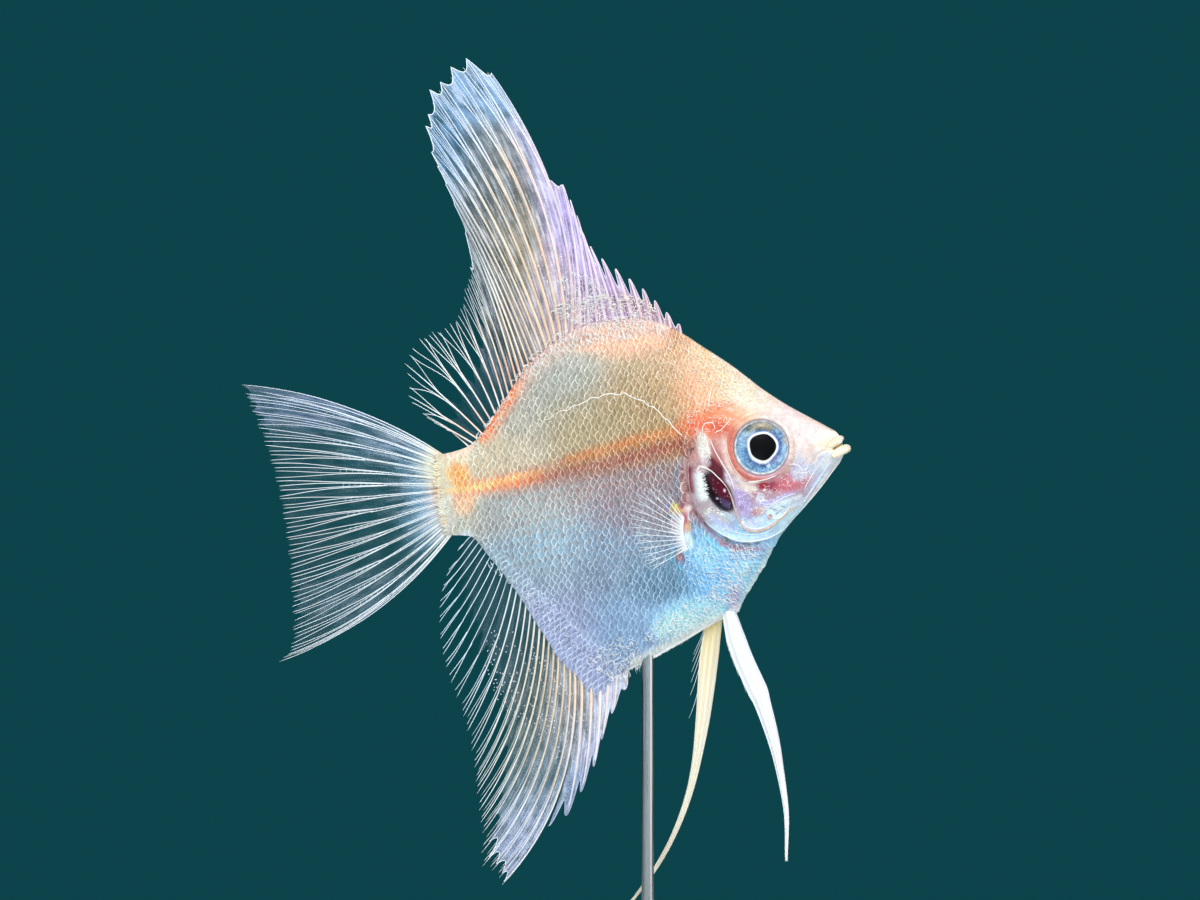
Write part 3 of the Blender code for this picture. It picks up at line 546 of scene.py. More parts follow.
bands = [  # name, path, half width, colour, strength, share that fades at the start and at the end
    ("dorsal sheath", sheathLine, 0.9, (0.44, 0.33, 0.42), 0.9, 0.15, 0.15),
    ("back pale", backLine[2:], 1.7, (0.74, 0.55, 0.48), 0.7, 0.3, 0.1),
    ("back edge", backLine[6:], 0.45, (0.90, 0.62, 0.50), 0.5, 0.2, 0.2),
    ("hump glow", [(16.5, 15.2), (20, 16.0), (24, 16.2), (28, 15.6), (31, 13.8)], 0.5,
     (0.88, 0.46, 0.26), 0.42, 0.3, 0.3),
    ("fin root orange", backLine[:5], 1.15, (0.95, 0.30, 0.12), 0.95, 0.1, 0.5),
    ("fin root red", [(8.5, 10.9), (10.5, 13.1), (13, 15.3), (16, 17.0)], 0.35,
     (0.72, 0.24, 0.16), 0.7, 0.2, 0.3),
    ("side band", [(3.5, 0.1), (7.5, 0.2), (11.2, 0.6), (14.8, 0.9), (18.4, 1.2), (22, 1.6),
                   (25.6, 2.2), (30.4, 3.0)],
     1.4, (0.42, 0.14, 0.075), 0.88, 0.35, 0.04),
    ("side rust", [(9, -1.6), (14, -1.5), (19, -1.2), (24, -0.8), (29.4, -0.4)], 1.7,
     (0.42, 0.29, 0.26), 0.55, 0.4, 0.1),
    ("side band top", [(12, 1.9), (16, 2.5), (20, 3.1), (24, 3.9), (30.4, 4.5)], 0.75,
     (0.64, 0.27, 0.10), 0.8, 0.3, 0.04),
    ("side glow", [(0.4, 0.2), (3.9, 0.3), (7.5, 0.4), (11.2, 0.8), (14.8, 1.2)], 1.0,
     (0.92, 0.33, 0.11), 0.8, 0.1, 0.5),
    ("side line", [(-0.6, 0.1), (0.4, 0.2), (3.9, 0.5), (7.5, 0.9), (11.2, 1.3), (14.8, 1.7)], 0.28,
     (1.0, 0.66, 0.27), 0.95, 0.05, 0.5),
    ("tail red", [(-0.9, 4.2), (-1.0, 1.5), (-0.9, -0.8), (-0.8, -4.4)], 0.5,
     (0.95, 0.40, 0.16), 0.85, 0.1, 0.1),
    ("tail top", [(0, 4.6), (2.5, 4.8), (4.8, 5.8)], 0.45, (0.95, 0.60, 0.50), 0.6, 0.2, 0.2),
    ("belly white", [(19.7, -24.0), (21.5, -23.4), (26.4, -21.4), (31.5, -19.4), (33.5, -18.9)], 0.9,
     (0.90, 0.98, 1.0), 1.0, 0.1, 0.1),
    ("belly glow", [(22.5, -20.3), (26.4, -19.2), (30.0, -18.2)], 1.4, (0.56, 0.84, 1.0), 0.85, 0.3, 0.3),
    ("breast edge", [(34.5, -18.2), (37.7, -13.8), (39.8, -10.8)], 0.6, (0.72, 0.90, 1.0), 0.85, 0.1, 0.1),
    ("keel pale", [(1.0, -5.2), (3.0, -5.8)], 0.6, (0.80, 0.86, 0.98), 0.8, 0.2, 0.2),
    ("forehead edge", [(34.0, 13.8), (37.0, 11.4), (40.0, 8.5), (43.0, 6.1)], 0.34,
     (1.0, 0.86, 0.74), 0.5, 0.1, 0.1),
    ("snout skin", [(41.5, 7.0), (43.5, 5.4), (46, 3.7), (48.0, 2.4)], 0.42,
     (0.90, 0.66, 0.64), 0.55, 0.2, 0.1),
    ("snout tan", [(44.2, 5.25), (45.6, 4.15), (47.2, 3.05), (48.6, 1.95)], 0.13,
     (0.68, 0.50, 0.38), 0.75, 0.2, 0.15),
    ("snout rim", [(41.5, 7.45), (43.5, 5.8), (46, 4.1), (48.3, 2.45)], 0.14,
     (0.98, 0.84, 0.74), 0.8, 0.1, 0.1),
    ("gill shadow", [(x - 0.34, z - 0.10) for x, z in gillEdge[1:7]] + [(32.6, -9.3), (34.7, -10.5),
                                                                        (36.7, -10.9), (39, -10.8)],
     0.30, (0.36, 0.22, 0.28), 0.8, 0.12, 0.15),
    ("gill fringe", [(31.3, 1.6), (29.9, 0.6), (29.1, -1.6), (29.2, -3.6), (29.9, -5.6)], 0.42,
     (0.50, 0.33, 0.32), 0.5, 0.3, 0.3),
    ("gill dark", [(30.3, 0.4), (30.0, -1.2), (30.0, -2.4), (30.45, -3.8)], 0.46,
     (0.20, 0.004, 0.02), 0.97, 0.2, 0.2),
    ("gill rim", [(33.1, -8.6), (34.9, -9.65), (36.7, -10.05), (38.7, -9.9), (40.4, -9.3)], 0.16,
     (0.86, 0.96, 1.0), 0.7, 0.2, 0.2),
    ("gill silver", [(31.3, -0.9), (31.2, -2.0), (31.3, -3.3), (31.75, -4.6)], 0.62,
     (0.74, 0.86, 0.85), 0.97, 0.10, 0.15),
    ("gill navy", [(32.3, -2.4), (32.25, -3.5), (32.7, -4.8), (33.5, -5.75), (34.6, -6.2)], 0.26,
     (0.03, 0.06, 0.13), 0.85, 0.15, 0.15),
    ("gill teal", [(33.0, -6.0), (33.9, -6.65), (35.1, -7.2)], 0.30, (0.42, 0.62, 0.76), 0.85, 0.2, 0.2),
    ("gill bone", [(31.0, -1.5), (31.05, -0.7), (31.4, -0.3), (32.0, -0.5), (32.7, -0.95),
                   (33.35, -1.7), (34.0, -2.5), (34.45, -3.15)], 0.12, (0.96, 0.84, 0.80), 0.95, 0.15, 0.2),
    ("gill bone low", [(34.3, -3.0), (34.7, -3.8), (34.95, -4.7), (35.15, -6.1), (35.35, -7.2)], 0.17,
     (0.52, 0.38, 0.38), 0.9, 0.1, 0.1),
    ("gill cream", [(31.2, -5.2), (32.0, -6.1), (32.9, -6.9), (34.3, -7.9)], 0.52,
     (0.60, 0.62, 0.58), 0.85, 0.2, 0.2),
    ("gill foot pale", [(31.6, -7.0), (32.9, -8.3), (34.8, -9.3), (36.8, -9.7),
                        (38.8, -9.4), (40.2, -8.7)], 0.34,
     (0.56, 0.82, 1.0), 0.85, 0.2, 0.2),
    ("gill foot lilac", [(31.7, -5.9), (32.6, -7.0), (33.9, -8.1), (35.4, -8.9)], 0.40,
     (0.40, 0.50, 0.90), 0.8, 0.2, 0.25),
    ("throat shade", [(33.0, -9.9), (35.0, -11.1), (37.0, -11.5), (39.2, -11.1)], 0.9,
     (0.36, 0.36, 0.46), 0.45, 0.2, 0.2),
    ("cheek limb", [(33.0, 3.2), (33.3, 1.6), (33.9, 0.0), (34.5, -1.4)], 0.40,
     (0.62, 0.26, 0.25), 0.75, 0.15, 0.2),
    ("cheek limb rose", [(34.3, 3.0), (34.7, 1.2), (35.0, -0.4), (35.7, -1.8)], 0.36,
     (0.86, 0.58, 0.54), 0.8, 0.15, 0.2),
    ("cheek limb light", [(33.0, 2.9), (33.35, 1.8), (34.05, 0.05), (34.75, -1.5), (35.1, -2.2)], 0.10,
     (0.99, 0.87, 0.85), 0.95, 0.1, 0.2),
    ("cheek foot", [(35.45, -7.0), (35.7, -8.0), (36.4, -8.7), (37.4, -8.98), (38.7, -8.8),
                    (39.75, -8.3), (40.8, -7.6),
                    (41.7, -7.0), (43.2, -6.2)], 0.13, (0.66, 0.38, 0.24), 0.95, 0.08, 0.15),
    ("cheek foot pale", [(35.75, -7.0), (36.05, -7.9), (36.7, -8.45), (37.6, -8.65), (38.7, -8.45)], 0.13,
     (0.93, 0.92, 0.92), 0.8, 0.2, 0.2),
    ("orbit rim", [(36.9, 4.5), (35.7, 2.9), (35.35, 1.2), (35.7, -0.6), (36.8, -2.1), (38.4, -2.75),
                   (40.0, -2.75), (41.4, -2.3)],
     0.44, (0.68, 0.17, 0.11), 0.95, 0.15, 0.35),
    ("orbit pale", [(34.75, 3.4), (34.75, 1.2), (35.05, -0.6), (35.9, -2.0), (36.9, -2.9)], 0.20,
     (0.90, 0.66, 0.58), 0.75, 0.2, 0.2),
    ("orbit light", [(36.9, -3.15), (37.3, -2.95), (38.0, -2.95), (38.9, -3.1), (39.6, -3.0)], 0.12,
     (1.0, 0.86, 0.80), 0.95, 0.15, 0.2),
    ("cheek cream line", [(35.4, -1.9), (36.3, -2.8), (37.0, -3.5), (38.2, -3.7)], 0.26,
     (0.84, 0.74, 0.66), 0.8, 0.2, 0.2),
    ("orbit tan", [(42.9, 2.6), (43.15, 0.9), (42.7, -0.8), (41.6, -2.1), (40.2, -2.75)], 0.30,
     (0.74, 0.50, 0.36), 0.75, 0.2, 0.2),
    ("mouth line", [(49.6, 0.64), (48.7, 0.28), (47.8, -0.16)], 0.16, (0.42, 0.16, 0.05), 0.9, 0.02, 0.2),
    ("mouth gold", [(48.9, 0.75), (48.1, 0.50), (47.4, 0.15)], 0.26, (1.0, 0.72, 0.32), 0.75, 0.2, 0.2),
    ("jaw line", jawLine, 0.12, (0.80, 0.52, 0.36), 0.7, 0.1, 0.2),
    ("lachrymal line", [(42.2, -1.25), (43.1, -1.35), (43.8, -1.9), (44.0, -2.6)], 0.12,
     (0.96, 0.92, 0.98), 0.85, 0.1, 0.2),
    ("chin margin", [(49.2, -1.0), (47.5, -2.9), (45.6, -5.2), (43.6, -7.8)], 0.42,
     (0.76, 0.76, 0.72), 0.85, 0.15, 0.2),
    ("chin streak", [(47.2, -2.0), (45.8, -3.5), (44.6, -4.9), (43.6, -6.1)], 0.14,
     (0.52, 0.66, 0.94), 0.8, 0.2, 0.2),
    ("chin streak low", [(47.7, -2.1), (46.2, -3.8), (44.8, -5.5), (43.2, -7.4)], 0.15,
     (0.93, 0.97, 1.0), 0.85, 0.2, 0.2),
    ("chin edge", [(49.9, -0.9), (48.0, -3.0), (46.0, -5.2), (44.0, -7.4), (42.2, -8.6)], 0.18,
     (0.93, 0.93, 0.92), 0.7, 0.1, 0.2),
    ("cheek violet", [(37.9, -5.0), (38.2, -5.5), (39.3, -5.75), (40.4, -5.5),
                      (41.8, -5.0), (43.4, -4.6)], 0.34,
     (0.46, 0.46, 0.90), 0.9, 0.15, 0.3),
    ("gill membrane", [(31.3, 2.3), (30.2, 1.3), (29.45, -0.6), (29.4, -3.0),
                       (30.1, -5.4), (31.2, -7.2)], 0.26,
     (0.56, 0.33, 0.30), 0.8, 0.15, 0.15),
    ("cheek white", [(40.6, -6.0), (41.8, -5.6), (43.0, -5.4), (43.8, -5.2)], 0.34,
     (0.78, 0.93, 1.0), 0.9, 0.2, 0.2),
]
patches = [  # name, x, z, half length, half height, turn in degrees, colour, strength, softness
    ("tail cream", -0.3, 2.6, 1.3, 1.4, 0, (0.80, 0.72, 0.46), 0.6, 0.5),
    ("tail orange", 1.9, 2.0, 1.3, 1.6, 20, (0.98, 0.46, 0.14), 0.85, 0.5),
    ("tail orange low", 2.2, -1.3, 1.4, 1.6, -10, (0.93, 0.50, 0.24), 0.6, 0.6),
    ("tail grey", -0.3, -1.8, 0.9, 1.8, 0, (0.70, 0.68, 0.55), 0.7, 0.5),
    ("brow fire", 33.4, 5.2, 3.2, 1.8, 10, (0.86, 0.14, 0.05), 0.95, 0.65),
    ("brow fire deep", 34.2, 4.5, 1.6, 0.7, -20, (0.62, 0.08, 0.05), 0.7, 0.6),
    ("brow ember", 36.6, 5.5, 2.0, 1.2, -12, (0.93, 0.38, 0.20), 0.75, 0.7),
    ("nape orange", 32.6, 8.6, 2.6, 3.4, 0, (0.84, 0.42, 0.22), 0.6, 0.7),
    ("silver streak", 32.2, 1.9, 2.1, 0.78, -84, (0.76, 0.69, 0.62), 0.92, 0.40),
    ("behind flap", 30.3, 1.9, 0.8, 1.8, 20, (0.44, 0.17, 0.13), 0.7, 0.6),
    ("opercle wine", 33.3, -0.7, 1.8, 0.90, -62, (0.09, 0.001, 0.012), 0.97, 0.35),
    ("opercle rust", 33.6, 1.0, 1.3, 0.5, -70, (0.42, 0.12, 0.12), 0.7, 0.5),
    ("opercle lilac", 32.2, 0.1, 0.55, 0.55, 20, (0.62, 0.50, 0.56), 0.7, 0.5),
    ("gill patch", 33.38, -3.65, 2.85, 1.34, -60, (0.008, 0.001, 0.006), 1.0, 0.14),
    ("gill patch red", 33.70, -3.2, 2.05, 0.80, -62, (0.10, 0.001, 0.018), 0.95, 0.45),
    ("gill patch plum", 34.0, -5.1, 0.8, 0.38, -50, (0.07, 0.05, 0.14), 0.75, 0.5),
    ("gill fleck", 34.1, -3.55, 0.13, 0.20, 0, (0.90, 0.80, 0.82), 0.9, 0.4),
    ("gill fleck low", 33.1, -4.4, 0.16, 0.12, 0, (0.62, 0.56, 0.66), 0.7, 0.5),
    ("cheek mauve", 36.2, -5.2, 2.2, 0.95, -76, (0.42, 0.33, 0.62), 0.9, 0.45),
    ("cheek wine speck", 35.9, -5.9, 0.28, 0.34, 0, (0.24, 0.12, 0.26), 0.7, 0.6),
    ("cheek lilac", 34.95, -2.4, 1.15, 0.36, -62, (0.62, 0.54, 0.70), 0.85, 0.4),
    ("cheek cream", 36.9, -3.5, 1.2, 0.5, -18, (0.80, 0.68, 0.56), 0.7, 0.5),
    ("cheek rose", 42.4, -3.4, 2.3, 1.1, 5, (0.60, 0.14, 0.17), 0.85, 0.55),
    ("cheek red", 38.9, -3.5, 0.75, 0.50, 0, (0.36, 0.02, 0.04), 0.95, 0.35),
    ("cheek white speck", 39.0, -4.05, 0.24, 0.13, 0, (1.0, 0.90, 0.86), 0.9, 0.4),
    ("cheek red front", 40.1, -3.75, 0.62, 0.60, 0, (0.28, 0.01, 0.05), 0.9, 0.4),
    ("cheek pink deep", 41.4, -3.7, 1.3, 0.6, 5, (0.60, 0.16, 0.20), 0.6, 0.6),
    ("cheek blue", 43.5, -2.5, 1.1, 0.9, 20, (0.60, 0.68, 0.86), 0.75, 0.5),
    ("jaw pink", 44.9, -0.2, 0.9, 1.2, 0, (0.88, 0.64, 0.54), 0.6, 0.6),
    ("ear ring", 38.35, -5.05, 0.50, 0.46, 0, (0.86, 0.88, 1.0), 0.9, 0.25),
    ("ear ring heart", 38.4, -5.0, 0.22, 0.19, 0, (0.40, 0.40, 0.74), 0.9, 0.3),
    ("cheek ember", 37.9, -6.6, 0.9, 0.6, 15, (0.58, 0.26, 0.24), 0.75, 0.5),
    ("jaw leaf", 40.2, -6.75, 1.25, 0.78, 28, (0.76, 0.95, 1.0), 0.95, 0.25),
    ("jaw stroke", 39.9, -6.55, 0.55, 0.13, -24, (0.16, 0.30, 0.56), 0.95, 0.4),
    ("jaw stroke middle", 40.5, -6.95, 0.60, 0.14, 28, (0.22, 0.38, 0.62), 0.9, 0.4),
    ("jaw stroke front", 41.1, -6.35, 0.42, 0.12, -20, (0.26, 0.42, 0.66), 0.9, 0.4),
    ("cheek foot blue", 37.4, -7.85, 1.35, 0.52, 8, (0.60, 0.70, 1.0), 0.85, 0.4),
    ("cheek dot", 39.3, -7.4, 0.35, 0.35, 0, (0.50, 0.10, 0.08), 0.8, 0.4),
    ("lip tip", 49.3, 1.5, 0.5, 0.6, 0, (0.98, 0.93, 0.84), 0.6, 0.5),
    ("mouth yellow", 47.4, 0.7, 1.5, 0.75, 0, (0.99, 0.90, 0.64), 0.7, 0.6),
    ("jaw grey", 47.2, -1.2, 1.5, 0.7, 35, (0.74, 0.78, 0.82), 0.75, 0.5),
    ("lower lip", 49.8, 0.0, 0.7, 0.5, 30, (0.98, 0.94, 0.74), 0.7, 0.5),
    ("lower lip gold", 48.8, -0.1, 0.9, 0.45, 20, (0.99, 0.90, 0.58), 0.6, 0.6),
    ("nostril", 44.05, 2.2, 0.16, 0.14, 0, (0.62, 0.40, 0.36), 0.5, 0.5),
    ("fin base crimson", 28.9, -5.9, 0.75, 1.6, -6, (0.48, 0.10, 0.13), 0.85, 0.45),
    ("fin base gold", 28.1, -5.0, 0.62, 0.8, 0, (0.68, 0.52, 0.12), 0.85, 0.4),
    ("fin base white", 29.4, -5.6, 0.35, 1.0, 10, (0.96, 0.86, 0.86), 0.8, 0.4),
    ("fin base rose", 28.0, -7.6, 0.7, 1.8, 5, (0.76, 0.50, 0.58), 0.7, 0.5),
    ("fin base amber", 29.2, -7.5, 0.45, 0.6, 0, (0.80, 0.46, 0.18), 0.85, 0.4),
    ("fin base pearl", 29.0, -9.3, 0.75, 1.15, 20, (0.72, 0.95, 1.0), 0.95, 0.3),
    ("fin base shade", 27.9, -10.9, 0.6, 0.7, 0, (0.40, 0.22, 0.20), 0.8, 0.5),
    ("breast spark", 30.8, -11.2, 1.6, 1.3, -30, (0.40, 0.74, 1.0), 0.6, 0.7),
    ("pelvic root", 34.2, -18.2, 0.9, 0.8, 0, (0.96, 0.96, 0.94), 0.7, 0.5),
    ("breast red", 33.9, -16.6, 0.8, 1.6, -20, (0.50, 0.28, 0.32), 0.5, 0.7),
]


def washed(rows, x, z):
    # smooth values by place: each row's values weighed by its nearness
    total = np.zeros(np.shape(x))
    value = np.zeros(np.shape(x) + (len(rows[0]) - 4,))
    for wx, wz, reachX, reachZ, *kept in rows:
        weight = np.exp(-(((x - wx) / reachX) ** 2 + ((z - wz) / reachZ) ** 2)) + 1e-9
        total += weight
        value += weight[..., None] * np.array(kept)
    return value / total[..., None]


def markings(x, z):
    # the colour at a place on the side: broad washes weighed by their nearness, then soft bands along paths
    # and soft oval patches laid over them in turn
    colour = washed([(*placed, *wash) for name, *placed, wash in washes], x, z)
    for name, path, width, paint, strength, start, end in bands:
        far, share, side = nearPath(path, x, z, 24)
        cover = strength * bell(far, width) * soft(share, -0.001, start) * soft(1 - share, -0.001, end)
        colour += cover[..., None] * (np.array(paint) - colour)
    for name, px, pz, length, height, turn, paint, strength, softness in patches:
        c, s = turning(turn)
        u = ((x - px) * c + (z - pz) * s) / length
        v = ((z - pz) * c - (x - px) * s) / height
        cover = strength * (1 - soft(np.hypot(u, v), 1 - softness, 1 + softness))
        colour += cover[..., None] * (np.array(paint) - colour)
    return colour


# the skin

def skinFinish():
    skin = Finish("skin", roughness=0.36)
    skin.set(coatRoughness=0.12, subsurfaceWeight=0.12, subsurfaceScale=0.0008)
    skin.shader.inputs["Specular IOR Level"].default_value = 0.16
    skin.shader.inputs["Subsurface Radius"].default_value = (1.0, 0.45, 0.3)
    tint = skin.read("tint", "Color")
    # the wet sheen fades where the colour is dark
    brightness = skin.node("ShaderNodeRGBToBW", None, {"Color": tint})
    skin.set(coatWeight=skin.ranged(brightness, 0.02, 0.3, 0.0, 0.35))
    freckle = skin.ranged(skin.noise(0.24, 3, 1.5), 0.52, 0.72)
    cloud = skin.ranged(skin.noise(0.8, 4, 0.6), 0.35, 0.68)
    stain = skin.between(cloud * 0.42, tint, (0.62, 0.42, 0.44), "MULTIPLY")
    skin.set(baseColor=skin.between(freckle * 0.7, stain, (1.0, 0.97, 0.96), "OVERLAY"))
    skin.set(roughness=skin.ranged(cloud, 0, 1, 0.26, 0.44))
    fine = skin.bump(skin.noise(0.16, 3), 0.02, 0.6)
    skin.set(normal=skin.bump(skin.noise(0.6, 2), 0.03, 0.5, fine))
    return skin


def makeSkin():
    # the right half's rows and, mirrored, the left half's, joined round at the back and belly edges
    rows = gridX.shape[1]
    right = np.stack([gridX, -gridY, gridZ], axis=-1)
    left = np.stack([gridX, gridY, gridZ], axis=-1)[:, -2:0:-1]
    ring = np.concatenate([right, left], axis=1)
    paint = markings(gridX, gridZ)
    tint = np.concatenate([paint, paint[:, -2:0:-1]], axis=1)
    count = ring.shape[1]
    last = (ring.shape[0] - 1) * count
    k = np.arange(1, rows - 2)
    ladder = np.stack([k, k + 1, count - k - 1, count - k], axis=-1)
    ends = [(0, 1, count - 1), (rows - 2, rows - 1, rows)]
    flipped = [tuple(last + i for i in face[::-1]) for face in ends]
    quads = np.concatenate([strips(*ring.shape[:2]), ladder[:, ::-1], last + ladder])
    others = [face[::-1] for face in ends] + [face[::-1] for face in flipped]
    skin = newPiece("skin", ring, quads, skinFinish(), tint, others=others)
    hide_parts("trunk", "tail_base", "head", "upper_jaw", "lower_jaw",
                "gill_cover_left", "gill_cover_right")


makeSkin()
print("skin made")

# the scales

scaleRow = eased([(-1, 0.1), (0.4, 0.2), (7.5, 0.6), (14.8, 1.4), (22, 2.0),
                  (28.5, 2.9), (34, 3.2), (51, 3.4)])
breastLine = [(34.4, -9.3), (32.4, -10.6), (30.6, -12.8), (29.4, -15.5), (28.6, -18.5), (28.4, -21.5)]
browLine = [(40.6, 7.0), (38.0, 7.0), (35.4, 6.6), (33.0, 6.3), (31.0, 5.8)]
headLine = [(31.0, 0.8), (31.9, 3.6), (33.2, 6.0), (35.0, 8.0), (37.6, 9.6), (38.6, 11.0)]
coat = {
    "groups": [  # name, step along and up, half length, half height, turn, lift of free edge, rim's paleness
        ("flank", 0.80, 0.62, 0.575, 0.72, 0, 0.13, 0.98),
        ("nape", 0.62, 0.48, 0.47, 0.54, 8, 0.11, 0.90),
        ("ridge", 0.60, 0.48, 0.46, 0.54, 14, 0.13, 1.15),
        ("breast", 0.66, 0.52, 0.58, 0.64, 48, 0.15, 1.30),
        ("keel", 0.78, 0.62, 0.61, 0.72, -38, 0.15, 1.10),
        ("brow", 0.50, 0.38, 0.37, 0.42, -34, 0.07, 0.85),
    ],
    "rings": (0.77, 0.92, 1.0),
    "corners": 12,
    "rootReach": 1.15,  # the root's side reaches this much farther than the free edge
    "shell": 0.035,
    "sunk": 0.015,
    "crown": 0.03,
    "jitter": 0.085,  # share of a step
    "sizes": (0.92, 1.08),
    "tilt": 7,
    "stripe": (-0.03, 0.09, 0.12),  # how far the flank's rows in turn lose red, green and blue
    "browShade": 0.4,
    "edgeGain": 1.60,
    "edgeLift": 0.20,
    "rimShare": 0.26,
    # share of a scale's colour left, on the whole, by the painted shade at its root
    "shadeShare": 0.80,
    "patch": 0.003,
}
regions = {
    "nape": (27.2, 0.12, 3.2),  # from x, farther on by this share of the depth below the back, above z
    "ridge": (3, 33, 1.5, 0.03),  # from x, to x, depth below the back at x 15, how that shrinks forwards
    "breast": (27, -8.5),  # from x, below z
    "keel": (3.0, 21, 0.8),  # from x, to x, height above the belly's edge
    "brow": (31.5, 39.6, 5),  # from x, to x, above z, past browLine
    "gill": (29.1, 2.5, 0.34),  # no scales on the gill cover from x, below z, and in a gap behind it
    "forehead": (30.8, -2),  # no scales but the brow's past headLine from x, above z
    "finRoot": (28.9, -7.7, 0.95, 2.9),  # no scales: x, z, half length, half height
    "stem": (0.9, 0.25, 1.7),  # no scales behind x, how far that edge waves, how fast
    "face": (41, -8.6, 41.5),  # no scales from x above z, and none at all from the second x
}


def groupOf(x, z):
    # which group's scales grow at a place: 0 flank, 1 nape, 2 ridge, 3 breast, 4 keel and anal sheath,
    # 5 brow, -1 none
    fromBack = back(x) - z
    group = np.zeros(x.shape, int)
    first, slant, above = regions["nape"]
    group = np.where((x > first + slant * fromBack) & (z > above), 1, group)
    first, last, depth, shrink = regions["ridge"]
    group = np.where((fromBack < depth - shrink * (x - 15)) & (x > first) & (x < last), 2, group)
    first, under = regions["breast"]
    far, share, side = nearPath(breastLine, x, z, 20)
    group = np.where((side > 0) & (z < under) & (x > first), 3, group)
    first, last, height = regions["keel"]
    group = np.where((z < belly(x) + height) & (x < last) & (x > first), 4, group)
    first, under, gap = regions["gill"]
    far, share, side = nearPath(gillEdge, x, z)
    covered = ((side > 0) | (far < gap)) & (share > 0.001) & (x > first) & (z < under)
    first, above = regions["forehead"]
    far, share, side = nearPath(headLine, x, z)
    bare = (side < 0) & (x > first) & (z > above)
    rootX, rootZ, length, tall = regions["finRoot"]
    finRoot = np.hypot((x - rootX) / length, (z - rootZ) / tall) < 1
    end, wave, pace = regions["stem"]
    stem = x < end + wave * np.sin(pace * z)
    first, above, last = regions["face"]
    group = np.where(covered | bare | finRoot | stem | ((x > first) & (z > above)) | (x > last), -1, group)
    first, last, above = regions["brow"]
    far, share, side = nearPath(browLine, x, z)
    return np.where(bare & (side < 0) & (x > first) & (x < last) & (z > above), 5, group)


def lightened(colour, gain, lift):
    # a paler colour, scaled and lifted: the more it leans to blue, the more of its hue is kept where it would
    # be cut off at one
    raised = colour * gain + lift
    kept = 0.7 * soft(colour[..., 2:] - colour[..., :1], 0.1, 0.4)
    most = np.maximum(raised.max(axis=-1, keepdims=True), 1)
    return np.minimum(raised, 1) * (1 - kept) + kept * raised / most


class BodyMap:
    # places on the skin by x and the distance w along its surface up from scaleRow: w is the summed length of
    # small steps of z and half thickness, tabled at even stations and read back between them
    def __init__(self, steps=241):
        self.x = np.linspace(-0.9, 44, 226)
        self.w = np.linspace(-32, 24, 701)
        tableX = np.repeat(self.x[:, None], steps, axis=1)
        top, bottom = back(tableX) + dorsalSheath(tableX) - 0.12, belly(tableX) - analSheath(tableX) + 0.12
        tableZ = bottom + (top - bottom) * (0.5 - 0.5 * np.cos(np.linspace(0, np.pi, steps)))
        step = np.hypot(np.diff(tableZ, axis=1), np.diff(self.smoothSide(tableX, tableZ), axis=1))
        length = np.concatenate([np.zeros((len(self.x), 1)), np.cumsum(step, axis=1)], axis=1)
        row = scaleRow(self.x)
        self.z = np.empty((len(self.x), len(self.w)))
        self.low, self.high = np.empty(len(self.x)), np.empty(len(self.x))
        for i in range(len(self.x)):
            w = length[i] - np.interp(row[i], tableZ[i], length[i])
            self.z[i] = np.interp(self.w, w, tableZ[i])
            self.low[i], self.high[i] = w[0], w[-1]

    def smoothSide(self, x, z):
        return np.sqrt(flank(x, z) ** 2 + 0.15 ** 2)

    def height(self, x, w):
        i = np.clip((x - self.x[0]) / (self.x[1] - self.x[0]), 0, len(self.x) - 1.001)
        j = np.clip((w - self.w[0]) / (self.w[1] - self.w[0]), 0, len(self.w) - 1.001)
        a, b = i.astype(int), j.astype(int)
        i, j = i - a, j - b
        near = self.z[a, b] * (1 - j) + self.z[a, b + 1] * j
        after = self.z[a + 1, b] * (1 - j) + self.z[a + 1, b + 1] * j
        return near * (1 - i) + after * i

    def inside(self, x, w, margin):
        low, high = np.interp(x, self.x, self.low), np.interp(x, self.x, self.high)
        return (w > low + margin) & (w < high - margin)


def coatFinish():
    coatSkin = Finish("scaleHorn", roughness=0.34, coatWeight=0.22, coatRoughness=0.12)
    tint, rim = coatSkin.read("tint", "Color"), coatSkin.read("rim")
    fleck = coatSkin.ranged(coatSkin.noise(0.25, 2), 0.4, 0.72)
    # painted shade: each scale darker towards its root, under the free edge of the scale in front of it
    deep = coatSkin.between(0.20 + coatSkin.read("shade") * 0.75, tint, (0.53, 0.46, 0.45), "MULTIPLY")
    # the rims' paleness is partly the scales' own pale edges and partly painted glint, brightened and dimmed
    # by this noise
    glint = coatSkin.ranged(coatSkin.noise(0.42, 3), 0.36, 0.64)
    pale = coatSkin.between(rim * coatSkin.read("paleness") * (0.45 + 0.75 * glint), deep,
                            coatSkin.read("edge", "Color"))
    # painted highlights: white sparks on the rims
    spark = coatSkin.ranged(coatSkin.noise(0.30, 2), 0.60, 0.70) * rim
    coatSkin.set(baseColor=coatSkin.between(spark * 0.7 + fleck * 0.06, pale, (1.0, 0.98, 0.96)))
    coatSkin.set(roughness=coatSkin.ranged(rim, 0, 1, 0.34, 0.22))
    coatSkin.set(normal=coatSkin.bump(coatSkin.noise(0.12, 2), 0.01, 0.5))
    return coatSkin


def scalePlaces(bodyMap, group, local):
    # a staggered lattice over the skin, turned and a little disordered, kept where the group's scales grow
    name, stepAlong, stepUp, length, height, turn, lift, paleness = coat["groups"][group]
    c, s = turning(turn)
    i, j = np.meshgrid(np.arange(-90, 90), np.arange(-90, 90), indexing="ij")
    u, v = ((i + 0.5 * (j % 2)) * stepAlong).ravel(), (j * stepUp).ravel()
    u = u + local.normal(0, coat["jitter"], u.size) * stepAlong
    v = v + local.normal(0, coat["jitter"], v.size) * stepUp
    x, w = 20 + u * c - v * s, u * s + v * c
    keep = (x > -0.6) & (x < 42) & bodyMap.inside(x, w, 0.55 * height)
    x, w = x[keep], w[keep]
    z = bodyMap.height(x, w)
    keep = groupOf(x, z) == group
    return x[keep], w[keep], z[keep]


